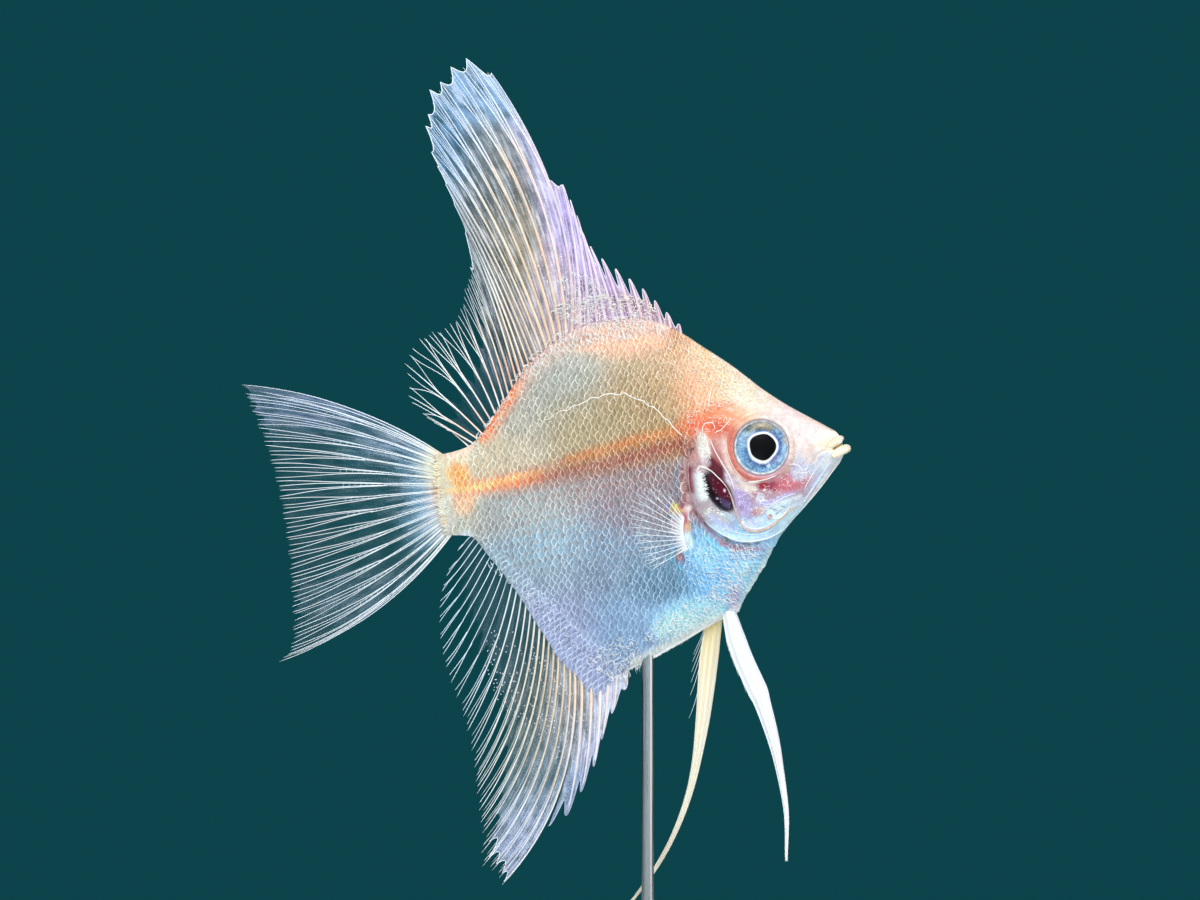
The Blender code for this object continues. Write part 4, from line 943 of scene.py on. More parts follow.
def slopes(x, z, step=0.15):
    # how steeply the half thickness changes along and up, held where the skin folds
    slopeX = (halfThickness(x + step, z) - halfThickness(x - step, z)) / (2 * step)
    slopeZ = (halfThickness(x, z + step) - halfThickness(x, z - step)) / (2 * step)
    return np.clip(slopeX, -1.5, 1.5), np.clip(slopeZ, -3, 3)


def makeScales(bodyMap, finish, group, out, word):
    # one small closed disc per place: rings of corners round the scale's middle on the skin, raised from the
    # root to the free edge, with a thin wall under the rim
    name, stepAlong, stepUp, length, height, turn, lift, paleness = coat["groups"][group]
    local = np.random.default_rng(fish["seed"] + group)
    x, w, z = scalePlaces(bodyMap, group, local)
    count, around = len(x), coat["corners"]
    angle = np.arange(around) * 2 * np.pi / around
    reach = np.array(coat["rings"])[:, None]
    # the free edge, on the tail's side, is blunter than the root
    p = (reach * np.cos(angle) * np.where(np.cos(angle) < 0, 1.0, coat["rootReach"])).ravel()
    q = (reach * np.sin(angle)).ravel()
    p, q = np.append(p, p[-around:]), np.append(q, q[-around:])
    size = local.uniform(*coat["sizes"], (count, 1))
    tilt = np.radians(local.normal(0, coat["tilt"], (count, 1)) + turn)
    along, up = p * length * size, q * height * size
    cornerX = x[:, None] + along * np.cos(tilt) - up * np.sin(tilt)
    cornerW = w[:, None] + along * np.sin(tilt) + up * np.cos(tilt)
    cornerZ = bodyMap.height(cornerX, cornerW)
    crown = coat["crown"] * (1 - np.minimum(p ** 2 + q ** 2, 1))
    rise = -p * lift * local.uniform(0.75, 1.25, (count, 1)) - coat["sunk"] + crown
    rise[:, -around:] -= coat["shell"]
    slopeX, slopeZ = slopes(x, z)
    steep = np.sqrt(1 + slopeX ** 2 + slopeZ ** 2)[:, None]
    cornerY = halfThickness(cornerX, cornerZ)
    points = np.stack([cornerX - rise * slopeX[:, None] / steep, out * (cornerY + rise / steep),
                       cornerZ - rise * slopeZ[:, None] / steep], axis=-1)
    rings = len(coat["rings"])
    faces = np.concatenate([lid(around)[:, ::-1], strips(rings + 1, around), lid(around, rings * around)])
    total = points.shape[1]
    quads = (faces[None] + (np.arange(count) * total)[:, None, None]).reshape(-1, 4)
    # the scales' own colour is such that it and the rim's, by their shares, have the markings' colour as mean
    mean = markings(x, z)
    near = 0.4
    slideX = np.clip((markings(x + near, z) - mean) / near, -0.3, 0.3)[:, None]
    slideZ = np.clip((markings(x, z + near) - mean) / near, -0.3, 0.3)[:, None]
    where = soft(x, 3, 10) * soft(2 - z, 0, 1.5) * soft(12 + z, 0, 3) * (group == 0)
    stripe = np.sin(np.pi * (w - 0.3) / coat["groups"][0][2]) * where
    mean = mean * (1 - stripe[:, None] * coat["stripe"])
    rimmed = 0.98 * lightened(mean, coat["edgeGain"], coat["edgeLift"])
    own = (mean - coat["rimShare"] * rimmed) / (1 - coat["rimShare"]) / coat["shadeShare"]
    own = np.clip(own, 0.35 * mean, 1)[:, None, :] * local.uniform(0.86, 1.12, (count, 1, 1))
    shift = (cornerX - x[:, None])[..., None] * slideX + (cornerZ - z[:, None])[..., None] * slideZ
    paint = np.clip(np.maximum(own + shift, 0.6 * own), 0, 1)
    rimmed = np.clip(rimmed[:, None, :] + shift * coat["edgeGain"], 0, 0.98)
    # the pale rim at the free edge: partly the scale's own pale edge, partly painted glint
    rim = np.repeat([0.0, 1.0, 0.6, 0.3], around)[None] * np.where(p < 0.25, 1.0, 0.15)
    # painted shade: 1 at the scale's root, under the free edge of the scale in front, falling to 0 at its own
    # free edge
    shade = soft(p, -0.55, 0.45)[None] * (coat["browShade"] if group == 5 else 1)
    values = {"rim": np.repeat(rim, count, axis=0), "shade": np.repeat(shade, count, axis=0),
              "paleness": np.repeat(paleness * local.uniform(0.45, 1.2, (count, 1)), total, axis=1)}
    piece = newPiece("scales_" + name + "_" + word, points, quads, finish,
                     paint, values, edge=rimmed)
    # each scale's patch on the unwrap of the skin by x and distance along its surface
    rootU = (x + 1) / 52 * 0.48 + (0.51 if out > 0 else 0.005)
    rootV = (w + 32) / 58 * 0.96 + 0.02
    patch = np.stack([p, q], axis=-1) * coat["patch"] / (2 * coat["rootReach"])
    patchUV = np.stack([rootU, rootV], axis=-1)[:, None] + patch
    layer = piece.data.uv_layers.new(name="OFBake")
    corner = np.empty(len(piece.data.loops), np.int32)
    piece.data.loops.foreach_get("vertex_index", corner)
    layer.data.foreach_set("uv", patchUV.reshape(-1, 2)[corner].astype(np.float32).ravel())
    return count


bodyMap = BodyMap()
scaleFinish = coatFinish()
for side, word in sides:
    made = [makeScales(bodyMap, scaleFinish, group, side, word) for group in range(len(coat["groups"]))]
    print(word, "scales:", made)


# threads: rays, spines, streaks and lines

def sweep(centres, radius, corners=6):
    # a tube round each centre line, its corners on circles across the line's direction
    centres, radius = np.asarray(centres, float), np.asarray(radius, float)
    along = np.gradient(centres, axis=1)
    along /= np.maximum(np.linalg.norm(along, axis=-1, keepdims=True), 1e-9)
    across = np.cross(along, np.array([0.0, 1.0, 0.0]))
    across /= np.maximum(np.linalg.norm(across, axis=-1, keepdims=True), 1e-9)
    outward = np.cross(across, along)
    angle = (np.arange(corners) + 0.5) * 2 * np.pi / corners
    ring = np.cos(angle)[:, None] * across[..., None, :] + np.sin(angle)[:, None] * outward[..., None, :]
    points = centres[..., None, :] + radius[..., None, None] * ring
    lines, rows = centres.shape[:2]
    faces = np.concatenate([strips(rows, corners), lid(corners)[:, ::-1], lid(corners, (rows - 1) * corners)])
    quads = (faces[None] + (np.arange(lines) * rows * corners)[:, None, None]).reshape(-1, 4)
    return points.reshape(-1, 3), quads, np.repeat(np.arange(lines * rows), corners)


def makeTubes(name, centres, radius, tint, corners=6):
    # a piece of such tubes, in one colour or with a colour for each point of their lines
    points, quads, index = sweep(centres, radius, corners)
    tint = np.clip(tint, 0, 1)
    return newPiece(name, points, quads, rayHorn,
                    tint if tint.ndim == 1 else tint.reshape(-1, 3)[index])


def sheetOf(points, half, edge=0.35):
    # a thin closed shell round a grid of points: the grid pushed out both ways by half along y, thinner at
    # its two long edges, joined round and closed at both ends
    rows, columns = points.shape[:2]
    across = np.linspace(-1, 1, columns)
    thickness = half * (1 - (1 - edge) * np.abs(across) ** 6)
    push = np.zeros_like(points)
    push[..., 1] = thickness
    ring = np.concatenate([points + push, (points - push)[:, ::-1]], axis=1)
    count = 2 * columns
    last = (rows - 1) * count
    quads = np.concatenate([strips(rows, count), lid(count)[:, ::-1], last + lid(count)])
    pick = np.concatenate([np.arange(columns), np.arange(columns)[::-1]])
    index = (np.arange(rows)[:, None] * columns + pick[None]).ravel()
    return ring.reshape(-1, 3), quads, index


def rayFinish(name):
    ray = Finish(name, roughness=0.28, coatWeight=0.3)
    tint = ray.read("tint", "Color")
    worn = ray.between(ray.ranged(ray.noise(0.8, 2), 0.45, 0.7) * 0.25, tint, (0.66, 0.68, 0.72), "MULTIPLY")
    ray.set(baseColor=ray.between(ray.ranged(ray.noise(0.5, 2), 0.4, 0.7) * 0.25, worn, (1, 1, 1)))
    return ray


def webFinish(name):
    web = Finish(name, roughness=0.22, coatWeight=0.4, coatRoughness=0.08)
    tint, veil = web.read("tint", "Color"), web.read("veil")
    across, along = web.read("across"), web.read("along")
    lines = web.node("ShaderNodeCombineXYZ", None, {"X": across * 5.5, "Y": along * 0.22})
    blots = web.node("ShaderNodeCombineXYZ", None, {"X": across * 1.1, "Y": along * 0.42})
    streak = web.ranged(web.cloudy(lines, 1.0, 2.0), 0.46, 0.66)
    cloud = web.ranged(web.cloudy(blots, 1.0, 3.0), 0.36, 0.62)
    fine = web.ranged(web.noise(0.20, 3), 0.52, 0.74)
    web.set(baseColor=web.between(streak * 0.55 + fine * 0.22, tint, (0.86, 0.90, 1.0)))
    web.set(alpha=web.ranged(veil * (0.35 + 0.90 * cloud) + (streak * 0.46 + fine * 0.3) * veil, 0, 1))
    web.set(normal=web.bump(web.noise(0.3, 2), 0.03, 0.6))
    return web


rayHorn, webSkin = rayFinish("rayHorn"), webFinish("webSkin")


class Fin:
    # a fin's surface by ray number n and share v of the way from root to tip: a curve of the second degree
    # whose middle is pulled along (skew) and across (bow) the straight run, leaning sideways as v squared
    def __init__(self, rootX, rootZ, tips, bow, skew, lean):
        self.rootX, self.rootZ = eased(rootX), eased(rootZ)
        self.bow, self.skew, self.lean = eased(bow), eased(skew), eased(lean)
        self.tipX = eased([(n, x) for n, x, z in tips])
        self.tipZ = eased([(n, z) for n, x, z in tips])

    def at(self, n, v):
        n, v = np.broadcast_arrays(np.asarray(n, float), np.asarray(v, float))
        rx, rz = self.rootX(n), self.rootZ(n)
        runX, runZ = self.tipX(n) - rx, self.tipZ(n) - rz
        middle, bow = 0.5 + self.skew(n), self.bow(n)
        mx, mz = rx + middle * runX - bow * runZ, rz + middle * runZ + bow * runX
        x = (1 - v) ** 2 * rx + 2 * v * (1 - v) * mx + v ** 2 * (rx + runX)
        z = (1 - v) ** 2 * rz + 2 * v * (1 - v) * mz + v ** 2 * (rz + runZ)
        return np.stack([x, self.lean(n) * v ** 2, z], axis=-1)


def makeRays(name, fin, threads, shafts, wander=0.0, replaced=()):
    # threads: arrays of ray number, drift of the number by the tip, share where it starts and ends, and the
    # radius at its start and at its end; shafts: rows that give the colour by place
    number, drift, start, stop, thick0, thick1 = np.array(threads, float).T
    rows = 30
    t = np.linspace(0, 1, rows)
    v = start[:, None] + (stop - start)[:, None] * t
    spread = np.clip((v - start[:, None]) / np.maximum(1 - start[:, None], 1e-6), 0, 1.2)
    # each thread but the stout ones strays a little from its number, as two slow waves
    local = np.random.default_rng(fish["seed"])
    phase, wave = local.uniform(0, 2 * np.pi, (2, len(number), 1)), local.uniform(4, 11, (2, len(number), 1))
    waves = np.sin(phase[0] + wave[0] * v) + np.sin(phase[1] + wave[1] * v)
    stray = wander * (thick0 < 0.1)[:, None] * spread ** 0.5 * waves
    centres = fin.at(number[:, None] + drift[:, None] * spread ** 0.9 + stray, v)
    radius = thick0[:, None] + (thick1 - thick0)[:, None] * t ** 1.6
    radius[:, -1] *= 0.4
    tint = washed(shafts, centres[..., 0], centres[..., 2]) * local.uniform(0.78, 1.08, (len(number), 1, 1))
    piece = makeTubes(name, centres, radius, tint)
    if replaced:
        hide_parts(*replaced)


def makeWeb(name, fin, last, stop, skin, half=0.035, per=6):
    # the skin between rays 0 and last, ending at the share that stop gives for each ray number; skin: rows
    # that give the colour and opacity by place
    n = np.linspace(0, last, last * per + 1)
    v = stop(n)[None, :] * np.linspace(0, 1, 40)[:, None] ** 0.9
    grid = fin.at(n[None, :], v)
    points, quads, index = sheetOf(grid, half)
    field = washed(skin, grid[..., 0], grid[..., 2]).reshape(-1, 4)
    length = np.linalg.norm(fin.at(n, 1.0) - fin.at(n, 0.0), axis=-1)
    values = {"veil": np.clip(field[index, 3], 0, 1),
              "across": np.broadcast_to(n[None], v.shape).ravel()[index],
              "along": (v * length[None]).ravel()[index]}
    newPiece(name, points, quads, webSkin, np.clip(field[index, :3], 0, 1), values)


def makeEdge(name, fin, last, stop, colour, radius, per=16):
    # a pale thread along the skin's free edge
    n = np.linspace(0, last, last * per + 1)
    makeTubes(name, fin.at(n, stop(n) - 0.002)[None], np.full((1, len(n)), radius), colour)


# the dorsal fin

def evenRoots(first, last, count):
    # rows of ray number and x, evenly spaced
    return [(n, first + (last - first) * n / count) for n in range(count + 1)]


def rootsOn(edge, sunk, roots):
    # rows of ray number and z that follow the body's edge, sunk a little into it
    return [(n, float(edge(x)) + sunk) for n, x in roots]


dorsalRoots = evenRoots(17.5, 3.7, 23)
dorsalSoft = Fin(
    dorsalRoots, rootsOn(back, -0.5, dorsalRoots),
    [(0, 11.4, 51), (1, 8.5, 53.1), (2, 6.5, 52.3), (3, 5.0, 50.6), (4, 3.6, 49.8),
     (5, 3.05, 46.8), (6, 2.6, 45.4),
     (7, 2.95, 42.1), (8, 3.5, 40.3), (10, 5, 35.5), (12, 6, 31.7), (13, 6.1, 27.4),
     (15, 5.1, 24.8), (16, 4.3, 22.5),
     (17, 2.8, 20.8), (18, 0.5, 20), (19, -1.2, 19.4), (20, -3.3, 16.5), (21, -3.3, 12.5), (22, -1.4, 9.6),
     (23, 1.6, 7.3)],
    [(0, -0.178), (1.5, -0.14), (4, -0.09), (10, -0.05), (23, -0.02)],
    [(0, -0.04), (3, 0.03), (8, 0.05), (23, 0)], [(0, 0.5), (23, 1.5)])
spineTips = pathThrough([(31, 17.4), (29, 19.8), (27.1, 22.2), (24.3, 24.8), (21.9, 27.2),
                         (20.6, 29.4), (19.7, 33.2), (18.6, 36.2)])(np.linspace(0, 1, 12))
spineRoots = [(n, 31 - 12.4 * n / 11) for n in range(12)] + [(12, 17.5)]
dorsalSpiny = Fin(
    spineRoots, rootsOn(back, -0.5, spineRoots),
    [(n, *tip) for n, tip in enumerate(spineTips)] + [(12, 17.05, 37.0)],
    [(0, -0.04), (11, -0.07), (12, -0.10)], [(0, 0), (12, 0)], [(0, 0), (12, 0.35)])

dorsal = {
    "leads": (0.22, 0.19, 0.14, 0.12),  # radius of the first ray's shaft, and of those to rays 5, 13 and 23
    "branches": (  # where each branch leaves its shaft and how far it drifts by its tip, to rays 7, 12 and 22
        ((0.40, 0.20), (0.46, 0.40), (0.53, 0.60), (0.60, 0.80)),
        ((0.60, 0.25), (0.70, 0.50)),
        ((0.30, 0.34), (0.42, 0.70), (0.52, -0.36)),
    ),
    "notches": [(0, 0.040), (12, 0.035), (14, 0.25), (17, 0.30), (23, 0.40)],  # depth by ray number
    "bareTips": [(0, 0), (12, 0), (15, 0.24), (19, 0.50), (23, 0.50)],  # share of each ray past the skin
    "frontNotches": [(0, 0.60), (6, 0.36), (10.6, 0.16), (11, 0.04), (12, 0.02)],  # depth by spine number
    "frontSharp": 2.2,
    "margin": ((0.90, 0.95, 1.0), 0.07),  # colour, radius
    "frontMargin": ((0.88, 0.84, 1.0), 0.055),
    "shafts": [  # x, z, reach along, reach up, colour of the rays there
        (15.5, 20.0, 3.5, 2.5, 0.97, 0.62, 0.40), (9.0, 14.0, 3.0, 1.6, 1.0, 0.50, 0.32),
        (4.5, 8.6, 2, 1.3, 0.98, 0.66, 0.52),
        (14.0, 26.0, 3.5, 4.5, 1.0, 0.70, 0.46), (9.5, 19.0, 3, 3, 1.0, 0.78, 0.60),
        (8.5, 25.0, 3, 3, 1.0, 0.92, 0.82), (4.0, 14.0, 3, 4, 1.0, 0.98, 0.96),
        (13.5, 35.0, 3, 5, 0.97, 0.72, 0.56), (9.0, 33.0, 3, 4, 0.96, 0.82, 0.68),
        (9.0, 47.0, 5, 4, 0.86, 0.90, 1.0),
        (5.0, 40.0, 3, 5, 0.66, 0.78, 0.98), (6.0, 27.0, 1.8, 6, 0.24, 0.36, 0.50),
        (16.6, 38.0, 1.2, 6, 0.88, 0.78, 0.98),
        (0.0, 17.0, 3, 4, 0.92, 0.95, 1.0), (22.0, 23.0, 4, 5, 0.93, 0.70, 0.86),
        (27.5, 19.5, 3, 3, 0.92, 0.66, 0.70), (19.5, 30.0, 1.6, 5, 0.84, 0.66, 0.96),
    ],
    "skin": [  # x, z, reach along, reach up, colour and opacity of the skin there
        (28.5, 19.0, 2.5, 2.0, 0.55, 0.30, 0.40, 0.70), (24.5, 21.5, 3.0, 2.5, 0.50, 0.30, 0.50, 0.74),
        (21.0, 25.5, 2.5, 3.0, 0.46, 0.32, 0.66, 0.76), (19.0, 31.0, 2.0, 4.0, 0.52, 0.40, 0.78, 0.80),
        (16.5, 24.0, 2.5, 4.0, 0.68, 0.50, 0.62, 0.68), (16.6, 36.0, 1.3, 5.0, 0.58, 0.48, 0.72, 0.76),
        (14.6, 42.5, 1.4, 4.0, 0.50, 0.50, 0.80, 0.60), (13.5, 21.5, 2.5, 3.0, 0.52, 0.40, 0.42, 0.50),
        (12.0, 29.5, 2.6, 5.0, 0.46, 0.36, 0.25, 0.50), (9.0, 26.0, 2.6, 4.5, 0.02, 0.02, 0.02, 0.84),
        (11.5, 35.0, 2.5, 3.0, 0.16, 0.14, 0.12, 0.50), (8.0, 37.0, 2.5, 3.0, 0.22, 0.24, 0.26, 0.32),
        (12.5, 40.0, 2.0, 3.0, 0.44, 0.38, 0.36, 0.40), (9.5, 42.0, 2.5, 2.5, 0.36, 0.38, 0.42, 0.30),
        (9.0, 48.5, 5.0, 3.0, 0.36, 0.58, 0.90, 0.42), (4.5, 43.0, 2.5, 4.0, 0.16, 0.40, 0.74, 0.20),
        (6.5, 27.0, 2.0, 5.0, 0.02, 0.03, 0.04, 0.45),
        (8.5, 19.0, 2.5, 3.0, 0.03, 0.04, 0.05, 0.40), (4.0, 14.0, 2.5, 3.0, 0.10, 0.20, 0.34, 0.03),
        (0.0, 18.0, 3.5, 4.0, 0.16, 0.28, 0.40, 0.0), (4.5, 22.0, 2.5, 3.5, 0.10, 0.20, 0.34, 0.03),
    ],
}


def notched(depth, sharp=1.0):
    # how far up the skin reaches by ray number: full at each ray and cut back between rays by a hump
    return lambda n: 1 - depth(n) * np.sin(np.pi * (n % 1)) ** sharp


def lowered(free, depth):
    # the same notches on an edge that is brought down by the share that free gives
    return lambda n: (1 - free(n)) * notched(depth)(n)


def makeDorsal():
    threads = []
    for n in range(24):
        # the main shaft, then thin branches that leave it one after another and fan out behind
        lead = dorsal["leads"][np.searchsorted((0, 5, 13), n)]
        threads.append((n, 0.0, 0.0, 1.0, lead, 0.05 if n < 14 else 0.035))
        branches = dorsal["branches"][np.searchsorted((7, 12), n)]
        if n < 23:
            threads += [(n + 0.01, drift, leaves, 0.985 - 0.01 * k, 0.066 if n < 13 else 0.055, 0.034)
                        for k, (leaves, drift) in enumerate(branches)]
    makeRays("dorsal_rays", dorsalSoft, threads, dorsal["shafts"], 0.05, ["dorsal_fin"])
    spines = [(n, 0.0, 0.0, 1.0, 0.22, 0.09) for n in range(12)]
    halves = [(n + 0.5, 0.0, 0.0, 0.50 + 0.035 * n, 0.06, 0.03) for n in range(12)]
    makeRays("dorsal_spines", dorsalSpiny, spines + halves, dorsal["shafts"])
    notches = eased(dorsal["notches"])
    makeWeb("dorsal_skin", dorsalSoft, 23, lowered(eased(dorsal["bareTips"]), notches), dorsal["skin"])
    front = notched(eased(dorsal["frontNotches"]), dorsal["frontSharp"])
    makeWeb("dorsal_front_skin", dorsalSpiny, 12, front, dorsal["skin"], half=0.05, per=16)
    makeEdge("dorsal_front_margin", dorsalSpiny, 12, front, *dorsal["frontMargin"])
    makeEdge("dorsal_margin", dorsalSoft, 13, notched(notches), *dorsal["margin"])


makeDorsal()
print("dorsal fin made")

# the anal fin

analRoots = evenRoots(13.4, 2.7, 23)
analSoft = Fin(
    analRoots, rootsOn(belly, 0.5, analRoots),
    [(0, 1.4, -48.8), (1, 1.1, -47.8), (2, 0.3, -46.8), (3, -0.7, -46.1), (4, -0.66, -44.4), (5, -0.26, -42),
     (6, -0.33, -40.7), (7, -0.37, -39.2), (8, -0.4, -37.1), (9, -0.33, -35.6),
     (10, -0.3, -33.8), (11, -0.46, -31.7),
     (12, -0.7, -29.2), (13, -1.0, -27.4), (14, -1.6, -24.9), (16, -2.4, -21.2),
     (18, -2.7, -17.6), (20, -2.3, -13.6), (22, -0.9, -9.8), (23, 0.8, -7)],
    [(0, 0.24), (6, 0.17), (16, 0.05), (23, 0.0)], [(0, 0.06), (23, 0)], [(0, -0.6), (23, -1.2)])
analSpineTips = pathThrough([(19.5, -26.3), (18.4, -27.5), (17.3, -29.4), (15.9, -31.9),
                             (14.0, -36.2), (10.3, -41.2)])(
    np.linspace(0, 1, 6))
analSpineRoots = [(n, 19.6 - 5.3 * n / 5) for n in range(6)] + [(6, 13.4)]
analSpiny = Fin(
    analSpineRoots, rootsOn(belly, 0.5, analSpineRoots),
    [(n, *tip) for n, tip in enumerate(analSpineTips)] + [(6, 7.9, -42.3)],
    [(0, 0.05), (5, 0.09), (6, 0.15)], [(0, 0), (6, 0.02)], [(0, 0), (6, -0.35)])

anal = {
    "leads": (0.18, 0.15, 0.11, 0.064),  # radius of the first ray's shaft, and of those to rays 8, 13 and 23
    "notches": [(0, 0.02), (5, 0.08), (10, 0.22), (23, 0.36)],
    "bareTips": [(0, 0.01), (4, 0.05), (9, 0.22), (23, 0.34)],
    "frontNotches": [(0, 0.30), (6, 0.10)],
    "frontSharp": 2.6,
    "margin": ((0.88, 0.94, 1.0), 0.05),
    "frontMargin": ((0.70, 0.76, 0.98), 0.05),
    "shafts": [
        (17.5, -28.5, 2, 3, 0.93, 0.80, 0.80), (13.5, -26.0, 2.5, 3.0, 0.95, 0.66, 0.44),
        (9.0, -24.0, 3, 4, 0.80, 0.60, 0.42),
        (5.5, -20.0, 3, 5, 0.84, 0.80, 0.74), (2.0, -14.0, 3, 5, 0.66, 0.82, 0.98),
        (8.5, -33.0, 3, 4, 0.80, 0.62, 0.46),
        (13.0, -34.0, 2, 4, 0.88, 0.80, 0.88), (4.0, -31.0, 3, 5, 0.80, 0.78, 0.70),
        (5.0, -42.0, 4, 4, 0.92, 0.90, 0.98), (1.0, -40.0, 3, 5, 0.94, 0.97, 1.0),
        (0.5, -26.0, 3, 6, 0.72, 0.88, 1.0),
    ],
    "skin": [
        (17.5, -29.0, 2, 2.5, 0.60, 0.58, 0.76, 0.66), (15.2, -34.0, 2, 2.5, 0.44, 0.42, 0.66, 0.66),
        (12.4, -39.0, 1.6, 3, 0.26, 0.34, 0.66, 0.58), (11.5, -30.0, 2.5, 3.5, 0.40, 0.36, 0.38, 0.34),
        (8.0, -36.0, 2.5, 4, 0.30, 0.40, 0.56, 0.20), (6.0, -29.0, 2.5, 4.5, 0.16, 0.16, 0.12, 0.12),
        (5.5, -42.5, 3.5, 3.5, 0.44, 0.50, 0.78, 0.36), (2.5, -34.0, 2.5, 5, 0.20, 0.34, 0.42, 0.08),
        (3.5, -20.0, 3, 5, 0.10, 0.22, 0.34, 0.05), (0.0, -22.0, 3, 8, 0.12, 0.24, 0.34, 0.0),
        (1.5, -11.0, 3, 4, 0.16, 0.30, 0.46, 0.02),
    ],
}


def makeAnal():
    threads = []
    for n in range(24):
        lead = anal["leads"][np.searchsorted((0, 8, 13), n)]
        threads += [(n, -0.10, 0.0, 1.0, lead, 0.040), (n - 0.04, 0.28, 0.66, 0.99, 0.055, 0.035)]
        if n < 14:
            threads += [(n + 0.01, 0.45, 0.46, 0.97, 0.04, 0.025)]
    makeRays("anal_rays", analSoft, threads, anal["shafts"], 0.05, ["anal_fin"])
    makeRays("anal_spines", analSpiny, [(n, 0, 0, 0.97, 0.24, 0.10) for n in range(6)], anal["shafts"])
    edge = lowered(eased(anal["bareTips"]), eased(anal["notches"]))
    makeWeb("anal_skin", analSoft, 23, edge, anal["skin"])
    front = notched(eased(anal["frontNotches"]), anal["frontSharp"])
    makeWeb("anal_front_skin", analSpiny, 6, front, anal["skin"], half=0.06, per=20)
    makeEdge("anal_front_margin", analSpiny, 6, front, *anal["frontMargin"])
    makeEdge("anal_margin", analSoft, 4, edge, *anal["margin"])


makeAnal()
print("anal fin made")

# the tail fin

tailEdge = pathThrough([(-23.4, 16.1), (-22.6, 13), (-21.4, 8.6), (-20.4, 2.5), (-20.1, -4), (-20.3, -10),
                        (-20.9, -16.4), (-22.7, -18.3)])(np.linspace(0, 1, 22))
tailFin = Fin(
    [(0, 0.2), (21, 0.2)], [(0, 4.7), (21, -5.1)], [(n, *tip) for n, tip in enumerate(tailEdge)],
    [(0, -0.13), (21, 0.155)], [(0, 0), (21, 0)],
    [(n, -1.6 - 0.5 * math.sin(2 * math.pi * n / 21)) for n in range(22)])
tail = {
    "rays": (1.2, 20.2, 15),  # the forked ones: first, last, how many
    "fork": (0.30, 0.16),  # the nearest first fork, and how much farther the farthest is
    "notches": [(0, 0.02), (3, 0.05), (18, 0.05), (21, 0.02)],
    "rungs": ((0.80, 0.90, 1.0), 0.028),  # colour, radius
    "shafts": [
        (-1.0, 3.0, 2, 2, 0.96, 0.88, 0.60), (-0.6, 0.0, 0.8, 3.5, 0.98, 0.50, 0.22),
        (-1.0, -3.5, 2, 2, 0.86, 0.84, 0.82),
        (-6.0, 4.0, 4, 4, 0.86, 0.90, 0.96), (-6.0, -3.0, 4, 4, 0.90, 0.93, 0.96),
        (-14.0, 11.0, 6, 3, 0.78, 0.85, 1.0),
        (-14.0, 1.0, 6, 5, 0.92, 0.95, 1.0), (-14.0, -9.0, 6, 5, 0.86, 0.91, 0.98),
        (-19.0, -15.0, 4, 3, 0.84, 0.88, 0.94),
    ],
    "skin": [
        (-1.0, 3.2, 2, 1.5, 0.90, 0.82, 0.55, 0.80), (-1.0, 0.3, 1.2, 2, 0.86, 0.48, 0.26, 0.75),
        (-1.0, -3.2, 2, 1.6, 0.60, 0.62, 0.66, 0.60), (-4.0, 0.0, 2, 4, 0.20, 0.46, 0.74, 0.24),
        (-7.0, 6.3, 3, 1.6, 0.30, 0.40, 0.66, 0.26), (-15.0, 12.5, 6, 2, 0.26, 0.34, 0.62, 0.18),
        (-9.0, 2.0, 4, 4, 0.10, 0.30, 0.42, 0.05), (-12.0, -2.0, 6, 7, 0.10, 0.30, 0.42, 0.02),
        (-12.0, -11.0, 5, 2, 0.24, 0.34, 0.50, 0.10), (-19.0, 0.0, 4, 10, 0.20, 0.36, 0.50, 0.02),
    ],
}


def makeTail():
    threads = []
    principal = np.linspace(*tail["rays"])
    nearest, farther = tail["fork"]
    for k, n in enumerate(principal):
        # two threads side by side that part at the first fork, and a thin one from each at the second
        for hand in (-1, 1):
            fork = nearest + farther * ((k * 5) % 4) / 3
            threads += [(n + 0.10 * hand, 0.0, 0.0, fork + 0.02, 0.066, 0.052),
                        (n + 0.10 * hand, 0.42 * hand, fork, 1.0, 0.050, 0.036),
                        (n + 0.10 * hand, 0.08 * hand, fork, 0.99, 0.044, 0.034)]
    threads += [(n, 0.0, 0.0, 1.0 - 0.08 * k, 0.075, 0.030) for k, n in enumerate((0.0, 0.45, 0.8))]
    threads += [(n, 0.0, 0.0, 1.0 - 0.06 * k, 0.060, 0.030) for k, n in enumerate((21.0, 20.7))]
    threads += [(n, 0.0, 0.0, 0.16 + 0.05 * (n % 3), 0.055, 0.02) for n in np.arange(0.6, 21, 0.65)]
    makeRays("tail_rays", tailFin, threads, tail["shafts"], 0.055, ["tail_fin"])
    # short rungs between the two threads of each ray, before and after its fork
    number, share = np.array([(n, v) for n in principal for v in np.arange(0.16, 0.62, 0.035)]).T
    t = np.linspace(-1, 1, 4)
    spread = 0.10 + 0.06 * soft(share, 0.35, 0.6)
    lines = tailFin.at(number[:, None] + t * spread[:, None], share[:, None] + 0.004 * t)
    colour, radius = tail["rungs"]
    makeTubes("tail_rungs", lines, np.full(lines.shape[:2], radius), colour, 4)
    makeWeb("tail_skin", tailFin, 21, notched(eased(tail["notches"])), tail["skin"])


makeTail()
print("tail fin made")

# the pectoral fins

pectoral = {
    "rays": 14,
    "length": [(0, 4.0), (0.15, 6.4), (0.35, 7.4), (0.6, 6.6), (0.8, 5.9), (1, 5.2)],
    "thick": (0.060, 0.030),
    "fan": (113, 93, 10),  # degrees: the first ray's direction, the whole fan, and the rays' bend
    "root": (28.75, 0.25, -6.5, 3.5),  # x, how far it bows back, top z, height
    "lean": 1.1,
    "clear": 0.03,
    "bristles": 46,
    "fork": 0.62,
    "rootColour": (1.0, 0.90, 0.95),
    "tipColour": (0.90, 0.96, 1.0),
    "skinColour": (0.80, 0.86, 0.95),
}


